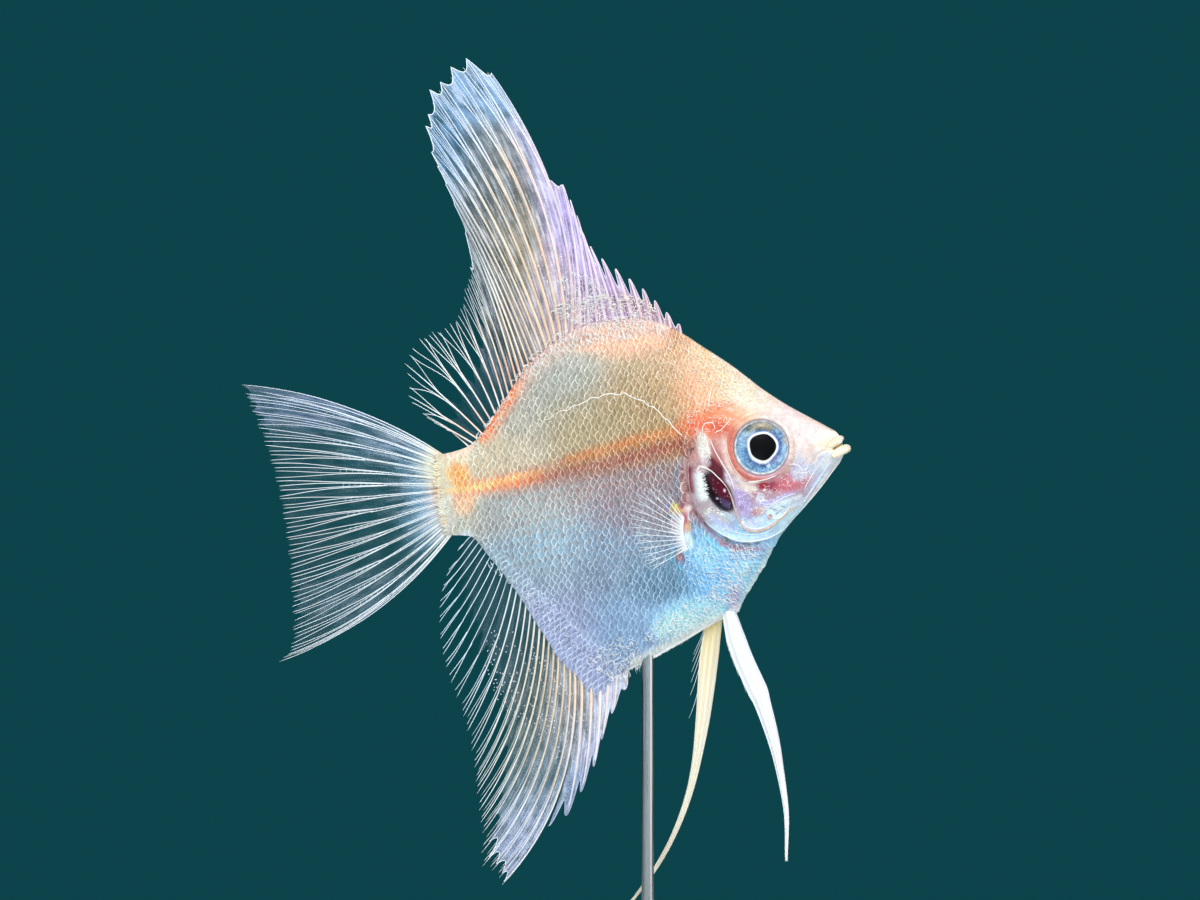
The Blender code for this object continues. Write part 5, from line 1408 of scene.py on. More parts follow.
def pectoralAt(s, v, out):
    # rays that fan out from a short arc at the root, bending a little and drifting away from the side
    s, v = np.broadcast_arrays(s, v)
    first, fan, bend = pectoral["fan"]
    turn = np.radians(first + fan * s + bend * (v - 0.3) * (0.5 - s))
    length = eased(pectoral["length"])(s)
    front, bow, top, height = pectoral["root"]
    rootX, rootZ = front - bow * np.sin(np.pi * s), top - height * s
    x, z = rootX + v * length * np.cos(turn), rootZ + v * length * np.sin(turn)
    start = halfThickness(rootX, rootZ)
    side = flank(x, z) + 0.40 + pectoral["lean"] * v ** 1.2
    y = start + 0.1 + (side - start - 0.1) * soft(v, 0, 0.25)
    return np.stack([x, out * y, z], axis=-1)


def makePectoral(out, word):
    t = np.linspace(0, 1, 24)
    rays = pectoral["rays"]
    s0 = np.linspace(0, 1, rays)
    # each ray's shaft, its two branches past the fork, then short bristles round the root
    lines, widths = [pectoralAt(s0[:, None], 0.66 * t[None], out)], [np.full((rays, 24), 1.0)]
    for hand, reach in ((-1, 0.90), (1, 0.98)):
        v = pectoral["fork"] + 0.38 * t[None] * reach
        s = s0[:, None] + hand * 0.022 * (v - pectoral["fork"]) / 0.38
        lines.append(pectoralAt(s, v + 0 * s, out))
        widths.append(np.full((rays, 24), 0.55))
    s = np.linspace(-0.04, 1.06, pectoral["bristles"])
    lines.append(pectoralAt(s[:, None], 0.30 * t[None] * (0.75 + 0.25 * np.sin(s * 40))[:, None], out))
    widths.append(np.full((pectoral["bristles"], 24), 0.85) * (1 - 0.6 * t[None]))
    centres = np.concatenate(lines)
    first, last = pectoral["thick"]
    radius = np.concatenate(widths) * (first + (last - first) * t[None])
    root, tip = np.array(pectoral["rootColour"]), np.array(pectoral["tipColour"])
    tint = np.tile(root + soft(t, 0, 0.25)[:, None] * (tip - root), (len(centres), 1))
    piece = makeTubes("pectoral_rays_" + word, centres, radius, tint)
    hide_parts("pectoral_fin_" + word)
    s = np.linspace(0, 1, 67)
    stop = 0.94 - 0.10 * np.abs(np.sin(np.pi * s * (rays - 1)))
    grid = pectoralAt(s[None], np.linspace(0, 1, 22)[:, None] * stop[None], out)
    points, quads, index = sheetOf(grid, 0.02)
    veil = np.clip(pectoral["clear"] + 0.22 * bell(np.linspace(0, 1, 22), 0.16), 0, 1)
    veil = np.repeat(veil[:, None], len(s), axis=1).ravel()[index]
    newPiece("pectoral_skin_" + word, points, quads, webSkin, pectoral["skinColour"],
             {"veil": veil, "across": 0 * veil, "along": 0 * veil})


for side, word in sides:
    makePectoral(side, word)
print("pectoral fins made")

# the pelvic fins

pelvics = {
    "right": {
        "out": -1,
        "path": [(33.0, -18.3), (33.3, -20.6), (34.0, -24), (35.8, -30), (36.9, -37),
                 (37.2, -43), (36.5, -49.6)],
        "width": [(0, 1.6), (0.05, 2.0), (0.14, 2.4), (0.33, 2.5), (0.38, 2.1), (0.5, 1.6), (0.65, 1.0),
                  (0.8, 0.65), (1, 0.3)],
        "colour": (1.0, 0.99, 0.97),
        # colour added in the ripple's hollows: painted shade
        "groove": (-0.05, -0.05, -0.01),
        "rootWarmth": 0.3,
        "threadDrift": 0.22,
    },
    "left": {
        "out": 1,
        "path": [(31.4, -18.6), (30.7, -21.0), (29.9, -24.3), (28.2, -32), (26.1, -39.2),
                 (22.8, -45.9), (17.6, -52.4), (14.2, -55.3)],
        "width": [(0, 1.8), (0.05, 2.1), (0.13, 2.3), (0.3, 1.8), (0.45, 1.1), (0.6, 0.72),
                  (0.8, 0.5), (1, 0.22)],
        "colour": (1.0, 0.95, 0.84),
        # colour added in the ripple's hollows: painted shade, and the fin's own golden lines
        "groove": (-0.06, -0.14, -0.26),
        "rootWarmth": 1.4,
        "threadDrift": 0.95,
    },
}


def pelvicFinish():
    silk = Finish("pelvicSilk", roughness=0.35, coatWeight=0.25, subsurfaceWeight=0.1, subsurfaceScale=0.0005)
    across, along, tint = silk.read("across"), silk.read("along"), silk.read("tint", "Color")
    where = silk.node("ShaderNodeCombineXYZ", None, {"X": across * 3.2, "Y": along * 0.16})
    groove = silk.ranged(silk.cloudy(where, 2.2, 3.0), 0.42, 0.62)
    # darker where the bump's grooves sink: the fin's own fine lines with painted shade in them
    silk.set(baseColor=silk.between((1 - groove) * 0.25, tint, (0.66, 0.72, 0.86), "MULTIPLY"))
    silk.set(normal=silk.bump(groove, 0.03, 0.5))
    return silk


def pelvicLean(s):
    # how far to its side the fin hangs at a share of the way down
    return 0.7 + 2.9 * s ** 1.3


def makePelvic(word, finish):
    # a flat strip with a lens-shaped section carried along its path, its faces rippled lengthwise
    fin = pelvics[word]
    rows, columns = 120, 45
    s = np.linspace(0, 1, rows)
    path = pathThrough(fin["path"])
    middle = path(s)
    run = np.gradient(middle, axis=0)
    run /= np.linalg.norm(run, axis=1, keepdims=True)
    normal = np.stack([-run[:, 1], run[:, 0]], axis=1)
    across = np.linspace(-1, 1, columns)
    width = eased(fin["width"])(s)
    place = middle[:, None] + normal[:, None] * (across[None, :, None] * width[:, None, None] / 2)
    lean = pelvicLean(s[:, None]) + 0.25 * (1 - across[None] ** 2) * (1 - s[:, None])
    ripple = 0.035 * np.sin(across * 11 + 0.8 * s[:, None]) * np.minimum(width, 1.5)[:, None]
    grid = np.stack([place[..., 0], fin["out"] * (lean + ripple), place[..., 1]], axis=-1)
    half = 0.05 + 0.20 * (1 - across ** 2) * np.minimum(width, 1.2)[:, None]
    push = np.zeros_like(grid)
    push[..., 1] = half
    ring = np.concatenate([grid + push, (grid - push)[:, ::-1]], axis=1)
    count = 2 * columns
    quads = np.concatenate([strips(rows, count), lid(count)[:, ::-1], (rows - 1) * count + lid(count)])
    both = np.concatenate([across, across[::-1]])
    length = s[:, None] * 32 + 0 * both[None]
    rootWarm = np.exp(-s / 0.16)[:, None, None] * np.array((0.0, -0.10, -0.30)) * fin["rootWarmth"]
    edge = np.clip(1 - np.abs(both - 0.8) / 0.5, 0, 1)[None, :, None] * np.array((-0.22, -0.16, -0.02))
    # painted shade: the colour shifts by the groove in the ripple's hollows; on the left fin this also gives
    # its own golden lines
    sunk = (0.5 - 0.5 * np.sin(both * 11 + 0.8 * s[:, None]))[..., None] * np.array(fin["groove"])
    tint = np.clip(np.array(fin["colour"]) + rootWarm + sunk + edge * (1 - s)[:, None, None], 0, 1)
    piece = newPiece("pelvic_" + word, ring, quads, finish, tint,
                     {"across": np.broadcast_to(both[None], (rows, count)), "along": length})
    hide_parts("pelvic_fin_" + word)
    # loose threads along the rear edge near the root
    t = np.linspace(0, 1, 24)
    starts = np.array([0.03, 0.05, 0.08, 0.11, 0.15, 0.22])
    span = np.clip(starts[:, None] + t[None] * 0.10, 0, 1)
    centre = path(span)
    slope = path(span + 0.01) - path(np.maximum(span - 0.01, 0))
    slope /= np.linalg.norm(slope, axis=-1, keepdims=True)
    offset = -eased(fin["width"])(span) / 2 + 0.1 - fin["threadDrift"] * t ** 1.5
    line = np.stack([centre[..., 0] - slope[..., 1] * offset, fin["out"] * (pelvicLean(span) + 0.1),
                     centre[..., 1] + slope[..., 0] * offset], axis=-1)
    radius = np.full(line.shape[:2], 0.045) * (1 - 0.7 * t)
    makeTubes("pelvic_threads_" + word, line, radius, (0.90, 0.96, 1.0))


silkFinish = pelvicFinish()
for word in ("right", "left"):
    makePelvic(word, silkFinish)
print("pelvic fins made")

# the eyes

eyeRings = [  # distance from the pupil's middle, colour
    (0.0, (0.001, 0.001, 0.002)), (1.60, (0.001, 0.001, 0.002)), (1.68, (0.95, 0.96, 1.0)),
    (1.84, (0.97, 0.97, 1.0)),
    (1.93, (0.28, 0.42, 0.80)), (2.06, (0.06, 0.13, 0.36)), (2.35, (0.07, 0.20, 0.46)),
    (2.72, (0.24, 0.50, 0.80)),
    (2.95, (0.18, 0.40, 0.64)), (3.08, (0.05, 0.14, 0.26)), (3.18, (0.88, 0.94, 1.0)),
    (3.28, (0.50, 0.50, 0.58)), (3.42, (0.30, 0.18, 0.18)),
]
eyeArcs = [  # middle and half width in degrees round the eye, nearest and farthest distance, colour, strength
    (92, 66, 2.15, 3.10, (0.10, 0.075, 0.035), 0.92), (80, 34, 2.5, 3.0, (0.60, 0.46, 0.28), 0.8),
    (120, 24, 2.0, 2.5, (0.62, 0.78, 0.84), 0.5), (65, 14, 2.1, 2.5, (0.30, 0.24, 0.12), 0.6),
    (8, 12, 2.6, 3.2, (0.55, 0.38, 0.22), 0.8), (150, 34, 2.0, 2.9, (0.50, 0.70, 0.86), 0.5),
    (270, 9, 1.9, 2.5, (0.02, 0.08, 0.22), 0.9), (285, 7, 2.2, 2.6, (0.75, 0.85, 0.98), 0.8),
    (310, 24, 1.95, 2.5, (0.34, 0.26, 0.52), 0.5), (255, 50, 1.7, 2.02, (0.98, 0.98, 1.0), 0.9),
    (240, 80, 3.08, 3.28, (0.96, 0.98, 1.0), 0.9), (60, 80, 3.12, 3.3, (0.34, 0.30, 0.28), 0.7),
    (340, 40, 2.4, 3.1, (0.40, 0.60, 0.84), 0.6), (200, 30, 2.3, 2.9, (0.10, 0.26, 0.48), 0.6),
]


def eyeFinish():
    glass = Finish("eyeGlass", roughness=0.5, coatWeight=0.02, coatRoughness=0.04)
    glass.shader.inputs["Specular IOR Level"].default_value = 0.08
    tint = glass.read("tint", "Color")
    iris = glass.read("iris")
    speck = glass.ranged(glass.noise(0.16, 4), 0.46, 0.66)
    dim = glass.ranged(glass.noise(0.45, 3), 0.38, 0.66)
    shaded = glass.between(dim * iris * 0.62, tint, (0.10, 0.20, 0.34), "MULTIPLY")
    glass.set(baseColor=glass.between(speck * iris * 0.26, shaded, (0.80, 0.92, 1.0)))
    glass.set(normal=glass.bump(speck * iris, 0.02, 0.4))
    return glass


def makeEye(out, word, finish):
    # a shallow dome of rings round the eye's middle, with a raised pupil and a skirt sunk into its seat
    rings, around = 72, 240
    r = np.concatenate([np.linspace(0.02, eye["radius"], rings),
                        [eye["radius"] - 0.04, eye["radius"] - 0.12]])
    a = np.arange(around) * 2 * np.pi / around
    ringX = eye["centre"][0] + r[:, None] * np.cos(a)
    ringZ = eye["centre"][1] + r[:, None] * np.sin(a)
    ball = (eye["radius"] ** 2 + eye["dome"] ** 2) / (2 * eye["dome"])
    dome = np.sqrt(ball ** 2 - r ** 2) - (ball - eye["dome"])
    dome[-2:] = (-0.45, -eye["depth"])
    px, pz, pupil = eye["pupil"]
    fromPupil = np.hypot(ringX - px, ringZ - pz)
    wobble = 1 + 0.03 * np.sin(3 * a + 0.6) + 0.02 * np.sin(5 * a + 2.0)
    pulled = fromPupil / wobble
    raised = 0.10 * (1 - soft(pulled, pupil - 0.1, pupil + 0.06)) + 0.05 * bell(fromPupil - pupil - 0.1, 0.10)
    ringY = eyePlane(ringX, ringZ) + dome[:, None] + raised * (np.arange(len(r)) < rings)[:, None]
    points = np.stack([ringX, out * ringY, ringZ], axis=-1)
    quads = np.concatenate([lid(around)[:, ::-1], strips(len(r), around), lid(around, (len(r) - 1) * around)])
    # colours by distance: from the pupil near it, from the eye's middle near the rim
    outer = np.broadcast_to(r[:, None], pulled.shape)
    where = pulled + (outer - pulled) * soft(pulled, 2.0, 3.2)
    places = [place for place, colour in eyeRings]
    shades = np.array([colour for place, colour in eyeRings]).T
    tint = np.stack([np.interp(where, places, shade) for shade in shades], axis=-1)
    streak = np.random.default_rng(fish["seed"]).normal(0, 1, (9, around))
    streak = np.repeat(streak, 8, axis=0)[:rings] + streak.mean(axis=0)
    streaked = soft(where, 1.95, 2.2) * (1 - soft(where, 2.9, 3.1))
    streak = (np.concatenate([streak, streak[-2:]]) * streaked)[..., None]
    tint = np.clip(tint * (1 + 0.30 * streak) + 0.03 * np.maximum(streak, 0), 0, 1)
    iris = soft(where, 1.84, 2.05) * (1 - soft(where, 3.30, 3.42))
    turn = np.degrees(np.broadcast_to(a[None], pulled.shape)) % 360
    for centre, half, near, far, paint, strength in eyeArcs:
        apart = np.abs((turn - centre + 180) % 360 - 180)
        cover = (1 - soft(apart, 0.4 * half, half)) * soft(where, near - 0.15, near + 0.1)
        cover = strength * (cover * (1 - soft(where, far - 0.1, far + 0.15)))
        tint += cover[..., None] * (np.array(paint) - tint)
    piece = newPiece("eyeball_" + word, points, quads, finish, tint, {"iris": iris})
    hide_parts("eye_" + word)


eyeSheen = eyeFinish()
for side, word in sides:
    makeEye(side, word, eyeSheen)
print("eyes made")

# the lips

lips = [  # name; x, z and half width from the mouth's corner to the front; radius there; colour in front and
    # at the corner
    ("upper_lip", [(47.6, 0.24, 1.62), (48.25, 0.66, 1.38), (48.88, 1.04, 1.00),
                   (49.12, 1.15, 0.48), (49.17, 1.17, 0.0)],
     [(0, 0.14), (0.25, 0.30), (0.7, 0.40), (1, 0.43)], (0.97, 0.85, 0.74), (0.97, 0.74, 0.46)),
    ("lower_lip", [(47.8, -0.92, 1.52), (48.6, -0.60, 1.28), (49.35, -0.28, 0.90),
                   (49.66, -0.16, 0.44), (49.72, -0.14, 0.0)],
     [(0, 0.28), (0.25, 0.47), (0.7, 0.57), (1, 0.60)], (0.98, 0.88, 0.68), (0.96, 0.82, 0.56)),
]


def makeLips():
    # a roll carried round the front of each jaw, from one corner of the mouth to the other
    flesh = Finish("lipSkin", roughness=0.30, coatWeight=0.4, coatRoughness=0.1, subsurfaceWeight=0.15,
                   subsurfaceScale=0.0006)
    tint = flesh.read("tint", "Color")
    flesh.set(baseColor=flesh.between(flesh.ranged(flesh.noise(0.2, 3), 0.4, 0.7) * 0.25,
                                      tint, (1.0, 0.97, 0.93)))
    flesh.set(normal=flesh.bump(flesh.noise(0.18, 3), 0.02, 0.5))
    corners = 16
    angle = np.arange(corners) * 2 * np.pi / corners
    for name, places, radii, front, rear in lips:
        half = pathThrough(places)(np.linspace(0, 1, 40))
        line = np.concatenate([half * (1, 1, -1), half[-2::-1]])[:, [0, 2, 1]]
        share = 1 - np.abs(np.linspace(-1, 1, len(line)))
        radius = eased(radii)(share)
        along = np.gradient(line, axis=0)
        along /= np.linalg.norm(along, axis=1, keepdims=True)
        up = np.array([0.0, 0.0, 1.0])
        outward = np.cross(up, along)
        outward /= np.linalg.norm(outward, axis=1, keepdims=True)
        rise = np.cross(along, outward)
        ring = line[:, None] + radius[:, None, None] * (np.cos(angle)[:, None] * outward[:, None]
                                                        + 0.92 * np.sin(angle)[:, None] * rise[:, None])
        ends = [lid(corners)[:, ::-1], lid(corners, (len(line) - 1) * corners)]
        quads = np.concatenate([strips(len(line), corners), *ends])
        colour = np.array(rear) + share[:, None] ** 0.7 * (np.array(front) - np.array(rear))
        newPiece(name, ring, quads, flesh, np.repeat(colour[:, None], corners, axis=1))


makeLips()
print("lips made")

# fine raised lines on the head, and small curled edges on skin and fins whose paleness is partly painted
# glint

headLines = [  # name, path, radius, colour
    ("opercle arc", [(31.0, -1.6), (31.05, -0.75), (31.45, -0.3), (32.0, -0.5), (32.7, -0.95),
                     (33.35, -1.7), (34.0, -2.5), (34.5, -3.3)], 0.075, (1.0, 0.90, 0.86)),
    ("opercle limb", [(34.45, -3.2), (34.85, -4.5), (35.1, -6.0), (35.4, -7.4), (35.8, -8.2)],
     0.11, (0.60, 0.44, 0.44)),
    ("limb", [(33.0, 3.1), (33.35, 1.8), (34.05, 0.05), (34.75, -1.5), (35.1, -2.6), (35.35, -3.8)],
     0.08, (1.0, 0.88, 0.90)),
    ("orbit", [(36.5, -3.1), (37.3, -2.85), (38.0, -2.85), (39.0, -2.8), (40.7, -2.4)],
     0.065, (1.0, 0.95, 0.92)),
    ("orbit back", [(35.0, 3.0), (34.95, 1.6), (35.15, 0.2), (35.8, -1.4), (36.5, -2.3)],
     0.05, (0.98, 0.80, 0.74)),
    ("brow", [(33.6, 3.6), (34.5, 3.9), (35.2, 4.5), (36.0, 5.2)], 0.065, (1.0, 0.86, 0.80)),
    ("brow curl", [(32.2, 3.5), (32.3, 4.4), (32.8, 4.95), (33.5, 4.9), (33.8, 4.3), (33.4, 3.9)],
     0.06, (1.0, 0.86, 0.76)),
    ("brow vee", [(34.1, 9.3), (33.6, 8.1), (33.3, 7.1), (34.3, 7.0)], 0.065, (1.0, 0.92, 0.86)),
    ("brow hook", [(32.2, 8.6), (31.8, 7.8), (32.3, 7.3), (32.9, 7.8)], 0.055, (1.0, 0.88, 0.80)),
    ("brow arch", [(30.6, 5.6), (31.2, 6.4), (32.0, 6.5), (32.6, 5.9)], 0.055, (1.0, 0.72, 0.52)),
    ("lachrymal", [(42.2, -1.25), (43.1, -1.35), (43.8, -1.9), (44.0, -2.6)], 0.055, (1.0, 0.97, 1.0)),
    ("lachrymal two", [(42.7, -2.1), (43.5, -2.5), (44.5, -2.5), (45.2, -2.0)], 0.05, (0.90, 0.92, 1.0)),
    ("salmon fold", [(44.6, -0.2), (44.9, -1.0), (44.5, -1.7), (43.9, -1.5)], 0.045, (1.0, 0.90, 0.88)),
    ("cheek foot", [(35.45, -7.2), (35.75, -8.1), (36.4, -8.75), (37.4, -9.0), (38.7, -8.85),
                    (39.8, -8.3), (40.8, -7.6), (41.7, -7.05), (42.7, -6.6)], 0.085, (0.70, 0.40, 0.24)),
    ("cheek foot two", [(35.8, -7.2), (36.1, -8.0), (36.7, -8.5), (37.6, -8.7), (38.7, -8.5), (39.5, -8.1)],
     0.055, (0.97, 0.96, 0.97)),
    ("ear ring", [(38.95, -4.85), (38.75, -4.5), (38.35, -4.45), (38.0, -4.75), (38.05, -5.2),
                  (38.45, -5.4), (38.75, -5.2), (38.6, -4.95), (38.4, -4.95)], 0.06, (0.84, 0.86, 1.0)),
    ("cheek violet", [(38.2, -5.6), (39.3, -5.85), (40.4, -5.6), (41.6, -5.15), (42.8, -4.9)],
     0.065, (0.80, 0.84, 1.0)),
    ("jaw leaf top", [(39.0, -6.5), (39.6, -6.0), (40.6, -5.8), (41.6, -6.0)], 0.06, (0.92, 1.0, 1.0)),
    ("jaw leaf foot", [(38.9, -6.7), (39.3, -7.5), (40.3, -7.7), (41.3, -7.1), (41.9, -6.4)],
     0.06, (0.90, 0.99, 1.0)),
    ("gill foot rim", [(31.1, -6.8), (32.2, -8.0), (33.6, -9.1), (35.2, -9.9), (36.9, -10.15),
                       (38.7, -10.0), (40.4, -9.4), (41.8, -8.5)], 0.075, (0.92, 0.98, 1.0)),
    ("gill foot line", [(33.6, -8.1), (34.9, -8.8), (36.4, -9.25), (38.0, -9.35), (39.6, -8.9)],
     0.05, (0.90, 0.96, 1.0)),
    ("gill back rim", [(31.7, 2.5), (30.5, 1.2), (29.95, -0.4), (29.85, -2.4), (30.2, -4.6), (31.1, -6.7)],
     0.055, (0.44, 0.24, 0.26)),
    ("chin rim", [(48.9, -1.5), (47.0, -3.7), (45.0, -6.0), (43.0, -8.1), (41.6, -9.4)],
     0.065, (0.97, 0.97, 0.98)),
    ("chin line", [(47.6, -1.5), (46.2, -3.1), (44.8, -4.8), (43.6, -6.2)], 0.055, (0.86, 0.94, 1.0)),
    ("chin line two", [(46.8, -1.0), (45.6, -2.3), (44.6, -3.5), (43.9, -4.6)], 0.05, (0.95, 0.97, 1.0)),
    ("maxilla", [(48.0, 0.95), (47.2, 0.45), (46.4, 0.0), (45.9, -0.8), (45.6, -2.0)],
     0.05, (0.98, 0.84, 0.70)),
    ("lip outline", [(48.9, 1.55), (48.2, 1.25), (47.5, 0.75), (47.2, 0.2)], 0.04, (0.80, 0.46, 0.26)),
    ("snout fold", [(44.0, 5.3), (45.5, 4.1), (47.0, 3.05), (48.2, 2.2)], 0.05, (0.74, 0.56, 0.48)),
]
curls = [  # name, x, z, half length, half height and turn of the oval they lie in, how many, length, radius,
    # heading, spread of heading, paleness, how far past the body's edge they may lie
    ("forehead", 36.0, 9.8, 5.2, 2.2, -40, 110, 0.90, 0.042, 150, 50, 0.65, -0.15),
    ("nape", 31.5, 12.0, 3.6, 4.2, -30, 60, 0.80, 0.042, 110, 60, 0.65, -0.15),
    ("brow fire", 33.4, 6.0, 3.0, 2.4, 0, 80, 0.80, 0.050, 60, 180, 0.60, -0.15),
    ("brow", 39.8, 6.4, 3.8, 1.2, -38, 40, 0.70, 0.038, 140, 40, 0.80, -0.15),
    ("back", 22.5, 17.0, 6.8, 0.9, 2, 150, 0.80, 0.055, 110, 40, 1.0, 0.5),
    ("fin foot", 21.8, 20.3, 6.6, 2.2, -10, 430, 0.90, 0.055, 90, 120, 0.75, 4.6),
    ("fin foot high", 19.6, 23.4, 3.6, 1.6, -35, 110, 0.70, 0.045, 100, 60, 0.8, 8),
    ("fin foot rear", 13.0, 15.4, 5.4, 0.8, 36, 130, 0.80, 0.055, 70, 60, 0.95, 1.2),
    ("fin foot low", 7.0, 8.9, 3.8, 0.7, 48, 80, 0.80, 0.055, 60, 60, 0.90, 0.8),
    ("opercle", 32.2, 2.0, 1.9, 0.7, -84, 110, 0.45, 0.045, 80, 60, 0.95, -0.15),
    ("silver leaf", 31.5, -2.6, 2.0, 0.50, -86, 110, 0.60, 0.045, 200, 40, 1.0, -0.15),
    ("silver foot", 33.2, -6.1, 1.6, 0.35, -25, 30, 0.50, 0.040, 160, 30, 0.9, -0.15),
    ("patch", 33.4, -3.7, 2.3, 1.0, -62, 16, 0.30, 0.030, 0, 180, 0.35, -0.15),
    ("cheek", 38.5, -5.0, 3.0, 1.6, 0, 90, 0.65, 0.042, 0, 180, 0.75, -0.15),
    ("cheek front", 43.0, -2.9, 2.6, 1.0, 8, 45, 0.65, 0.042, 20, 90, 0.85, -0.15),
    ("jaw", 38.5, -7.4, 3.2, 0.9, 8, 45, 0.65, 0.045, 0, 180, 0.90, -0.15),
    ("gill foot", 34.0, -7.6, 3.2, 1.2, -28, 40, 0.65, 0.042, 150, 40, 0.90, -0.15),
    ("breast", 34.0, -14.0, 4.6, 2.2, 56, 210, 0.85, 0.055, 130, 25, 1.0, -0.15),
    ("breast spark", 30.5, -12.5, 2.6, 2.4, 0, 90, 0.40, 0.060, 130, 60, 1.0, -0.15),
    ("belly", 27.5, -18.6, 5.6, 1.6, 24, 230, 0.70, 0.060, 110, 120, 1.0, 0.1),
    ("keel", 17.5, -23.0, 4.5, 2.2, 30, 180, 0.90, 0.052, 120, 120, 0.95, 3.0),
    ("keel rear", 9.3, -16.5, 9.8, 1.5, -52, 360, 0.62, 0.045, 230, 80, 0.60, 2.4),
    ("keel front", 19.6, -24.0, 2.2, 1.2, 30, 60, 0.90, 0.055, 250, 50, 1.0, 3.0),
    ("anal specks", 8.3, -26.5, 10.0, 4.2, -62, 240, 0.18, 0.070, 0, 180, 1.0, 20),
    ("dorsal specks", 18.5, 24.0, 5.5, 2.2, -42, 80, 0.18, 0.070, 0, 180, 1.0, 20),
    ("tail stem", 1.0, 0.0, 2.2, 4.2, 0, 50, 0.60, 0.042, 180, 60, 0.80, -0.15),
    ("tail comb", -0.75, -0.2, 4.5, 0.35, -88, 130, 1.20, 0.060, 180, 14, 0.25, -0.05),
]


fine = {
    "leastSide": 0.20,  # keeps the lines off the fins' thin skin past the body
    "lineLift": 0.02,
    "overScales": 0.16,
    "curlBend": (1.0, 2.6),
    "eyeGap": 3.75,
    "hem": (18.8, 33.6, 0.30),  # from x, to x, radius
    "hemColour": (1.0, 1.0, 1.0),
    "fringe": ((16.6, 20.0, 26), (20, 28, 34)),  # from x, to x, how many threads
    "fringeRadius": 0.045,
    "fringeColour": (0.92, 1.0, 1.0),
}


def onSkin(places, out, lift):
    # a line of places laid on the side and lifted a little
    y = np.maximum(halfThickness(places[..., 0], places[..., 1]), fine["leastSide"])
    return np.stack([places[..., 0], out * (y + lift), places[..., 1]], axis=-1)


def makeHeadLines(out, word):
    t = np.linspace(0, 1, 40)
    places = np.stack([pathThrough(path)(t) for name, path, radius, colour in headLines])
    places[..., 1] = np.clip(places[..., 1], belly(places[..., 0]) + 0.16, back(places[..., 0]) - 0.12)
    lines = onSkin(places, out, fine["lineLift"])
    radius = np.array([row[2] for row in headLines])[:, None] * (0.15 + 0.85 * np.sin(np.pi * t) ** 0.4)
    tint = np.repeat(np.array([row[3] for row in headLines]), len(t), axis=0)
    makeTubes("head_lines_" + word, lines, radius, tint)


def makeCurls(out, word):
    # short arcs strewn over ovals: each turns by the bend while it runs its length, from a random heading;
    # their paleness is partly the edges' own colour and partly painted glint
    local = np.random.default_rng(fish["seed"] + 50)
    t = np.linspace(-0.5, 0.5, 7)
    lines, radii, tints = [], [], []
    for name, x, z, halfLength, halfHeight, turn, count, length, radius, heading, spread, pale, past in curls:
        around, reach = local.uniform(0, 2 * np.pi, count), np.sqrt(local.uniform(0, 1, count))
        u, v = halfLength * reach * np.cos(around), halfHeight * reach * np.sin(around)
        c, s = turning(turn)
        middle = np.stack([x + u * c - v * s, z + u * s + v * c], axis=-1)
        bend = local.uniform(*fine["curlBend"], count) * local.choice([-1, 1], count)
        way = np.radians(heading + local.uniform(-spread, spread, count))[:, None] + bend[:, None] * t
        step = (length * local.uniform(0.5, 1.2, count))[:, None] / len(t)
        run = np.stack([np.cumsum(step * np.cos(way), axis=1), np.cumsum(step * np.sin(way), axis=1)],
                       axis=-1)
        places = middle[:, None] + run - run[:, 3:4]
        fromEye = np.hypot(places[..., 0] - eye["centre"][0], places[..., 1] - eye["centre"][1]).min(axis=1)
        above = (places[..., 1] - back(places[..., 0])).max(axis=1)
        below = (belly(places[..., 0]) - places[..., 1]).max(axis=1)
        keep = (fromEye > fine["eyeGap"]) & (np.maximum(above, below) < past)
        lifted = fine["overScales"] * (groupOf(places[..., 0], places[..., 1]) >= 0)
        lines.append(onSkin(places[keep], out, lifted[keep]))
        radii.append(np.broadcast_to(radius * (0.35 + 0.65 * np.cos(np.pi * t)), (count, len(t)))[keep])
        own = markings(middle[keep, 0], middle[keep, 1])
        # paleness: partly the curled edges' own pale colour, partly painted glint on scale edges
        light = pale * local.uniform(0.45, 1.0, (len(own), 1))
        tints.append(lightened(own, 1.35, 0.12) * (1 - light) + light * np.array((1.0, 0.98, 0.97)))
    tint = np.repeat(np.concatenate(tints), len(t), axis=0)
    makeTubes("curls_" + word, np.concatenate(lines), np.concatenate(radii), tint, 4)


def makeHem():
    # a pale rounded hem along the belly's edge, with loose threads that hang back from it
    rear, front, thickest = fine["hem"]
    x = np.linspace(rear, front, 90)
    local = np.random.default_rng(fish["seed"] + 90)
    z = belly(x) + 0.06 + 0.05 * local.normal(0, 1, len(x)) * soft(28 - x, 0, 6)
    radius = thickest * np.sin(np.pi * np.linspace(0.02, 0.98, len(x))) ** 0.4
    line = np.stack([x, 0 * x, z], axis=-1)
    makeTubes("belly_hem", line[None], radius[None], fine["hemColour"], 8)
    t = np.linspace(0, 1, 12)
    x = np.concatenate([local.uniform(*stretch) for stretch in fine["fringe"]])
    # long at the rear end of the belly, and shorter the farther forward
    longer = local.uniform(0.8, 2.2, len(x))
    shorter = local.uniform(0.3, 1.3, len(x)) * (1.2 - 0.1 * (x - 20))
    length = np.where(x < 20, longer, shorter)
    way = np.radians(local.uniform(200, 262, len(x)))[:, None] + local.uniform(-0.5, 0.8, len(x))[:, None] * t
    run = length[:, None] * t
    y = local.uniform(-0.35, 0.35, len(x))[:, None] * (1 + 0 * t)
    z = np.where(x < 20, belly(x) + local.uniform(-1.0, 0.4, len(x)), belly(x))
    centres = np.stack([x[:, None] + run * np.cos(way), y, z[:, None] + run * np.sin(way)], axis=-1)
    radius = fine["fringeRadius"] * (1 - 0.75 * t) * np.ones((len(x), 1))
    makeTubes("belly_fringe", centres, radius, fine["fringeColour"], 4)


for side, word in sides:
    makeHeadLines(side, word)
    makeCurls(side, word)
makeHem()
print("fine lines made")

# the lateral line: a row of small pored tubes on the scales

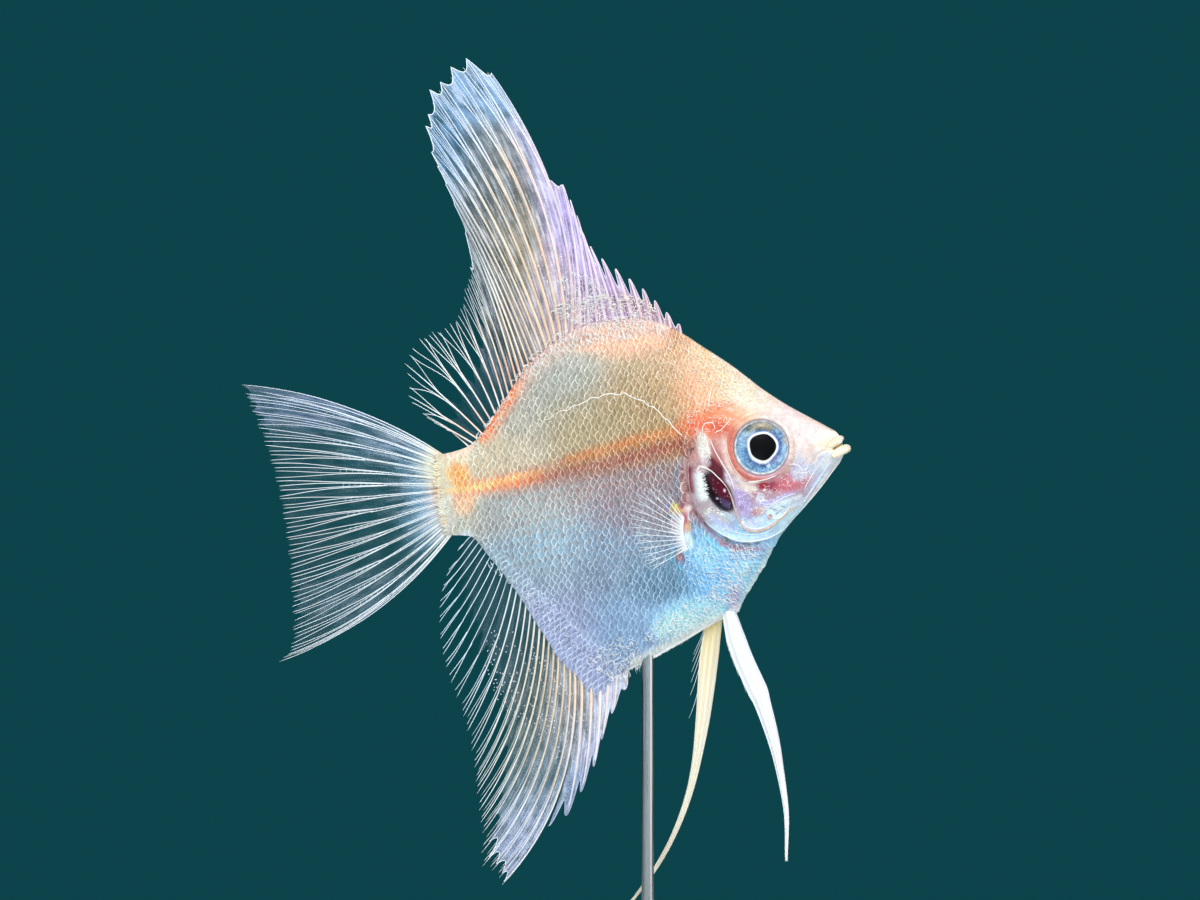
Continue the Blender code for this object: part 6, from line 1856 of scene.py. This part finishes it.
lateral = {
    "path": [(4.6, 3.5), (7.0, 4.6), (9.4, 5.8), (11.6, 6.7), (14.8, 8.2), (17, 8.8),
             (19.2, 9.5), (21.4, 9.8),
             (23.2, 9.6), (24.9, 8.7), (26.5, 7.6), (27.8, 6.2), (28.7, 5), (29.9, 3.3)],
    "radius": 0.085,
    "step": 0.62,
    "lift": 0.10,
    "colour": (0.80, 0.66, 0.48),
    "paler": (0.20, 0.24, 0.32),  # added towards the head
}


def makeLateral(out, word):
    path = pathThrough(lateral["path"])
    s = np.linspace(0, 1, 700)
    places = path(s)
    places[:, 1] += 0.10 * np.sin(s * 85) + 0.05 * np.sin(s * 140 + 1)
    y = halfThickness(places[:, 0], places[:, 1]) + lateral["lift"]
    line = np.stack([places[:, 0], out * y, places[:, 1]], axis=-1)[None]
    length = np.concatenate([[0], np.cumsum(np.linalg.norm(np.diff(line[0], axis=0), axis=1))])
    swell = 0.62 + 0.38 * np.abs(np.sin(np.pi * length / lateral["step"]))
    bold = soft(s, 0.20, 0.50)
    ends = np.minimum(soft(s, 0, 0.03), soft(1 - s, 0, 0.03)) * (0.45 + 0.55 * bold) + 0.05
    tint = np.array(lateral["colour"]) + bold[:, None] * lateral["paler"]
    makeTubes("lateral_line_" + word, line, (lateral["radius"] * swell * ends)[None], tint)


for side, word in sides:
    makeLateral(side, word)
print("lateral line made")

# the stand

stand = {
    "wood": ((0.105, 0.046, 0.022), (0.255, 0.130, 0.066)),  # dark and light of its grain
    "pores": (0.045, 0.020, 0.010),
    "steel": ((0.26, 0.27, 0.28), (0.38, 0.39, 0.40)),
}


def makeStand():
    walnut = Finish("walnut", roughness=0.38, coatWeight=0.25, coatRoughness=0.2)
    grain = walnut.grain((60, 420, 420), 1.6, 6.0, 0.5)
    pores = walnut.grain((160, 2400, 2400), 1.0, 2.0)
    ring = walnut.ranged(grain, 0.34, 0.68)
    wood = walnut.between(ring, *stand["wood"])
    walnut.set(baseColor=walnut.between(walnut.ranged(pores, 0.52, 0.64) * 0.55, wood, stand["pores"]))
    walnut.set(normal=walnut.bump(pores, 0.02, 0.5))
    steel = Finish("brushedSteel", metallic=1.0, roughness=0.28)
    brushed = steel.grain((3000, 3000, 90), 1.0, 2.0)
    steel.set(baseColor=steel.between(brushed, *stand["steel"]))
    steel.set(roughness=steel.ranged(brushed, 0.3, 0.7, 0.22, 0.36))
    for node, finish in (("stand_base", walnut), ("stand_rod", steel)):
        piece = bpy.data.objects[node]
        piece.data.materials.clear()
        piece.data.materials.append(finish.material)


makeStand()
print("stand finished")
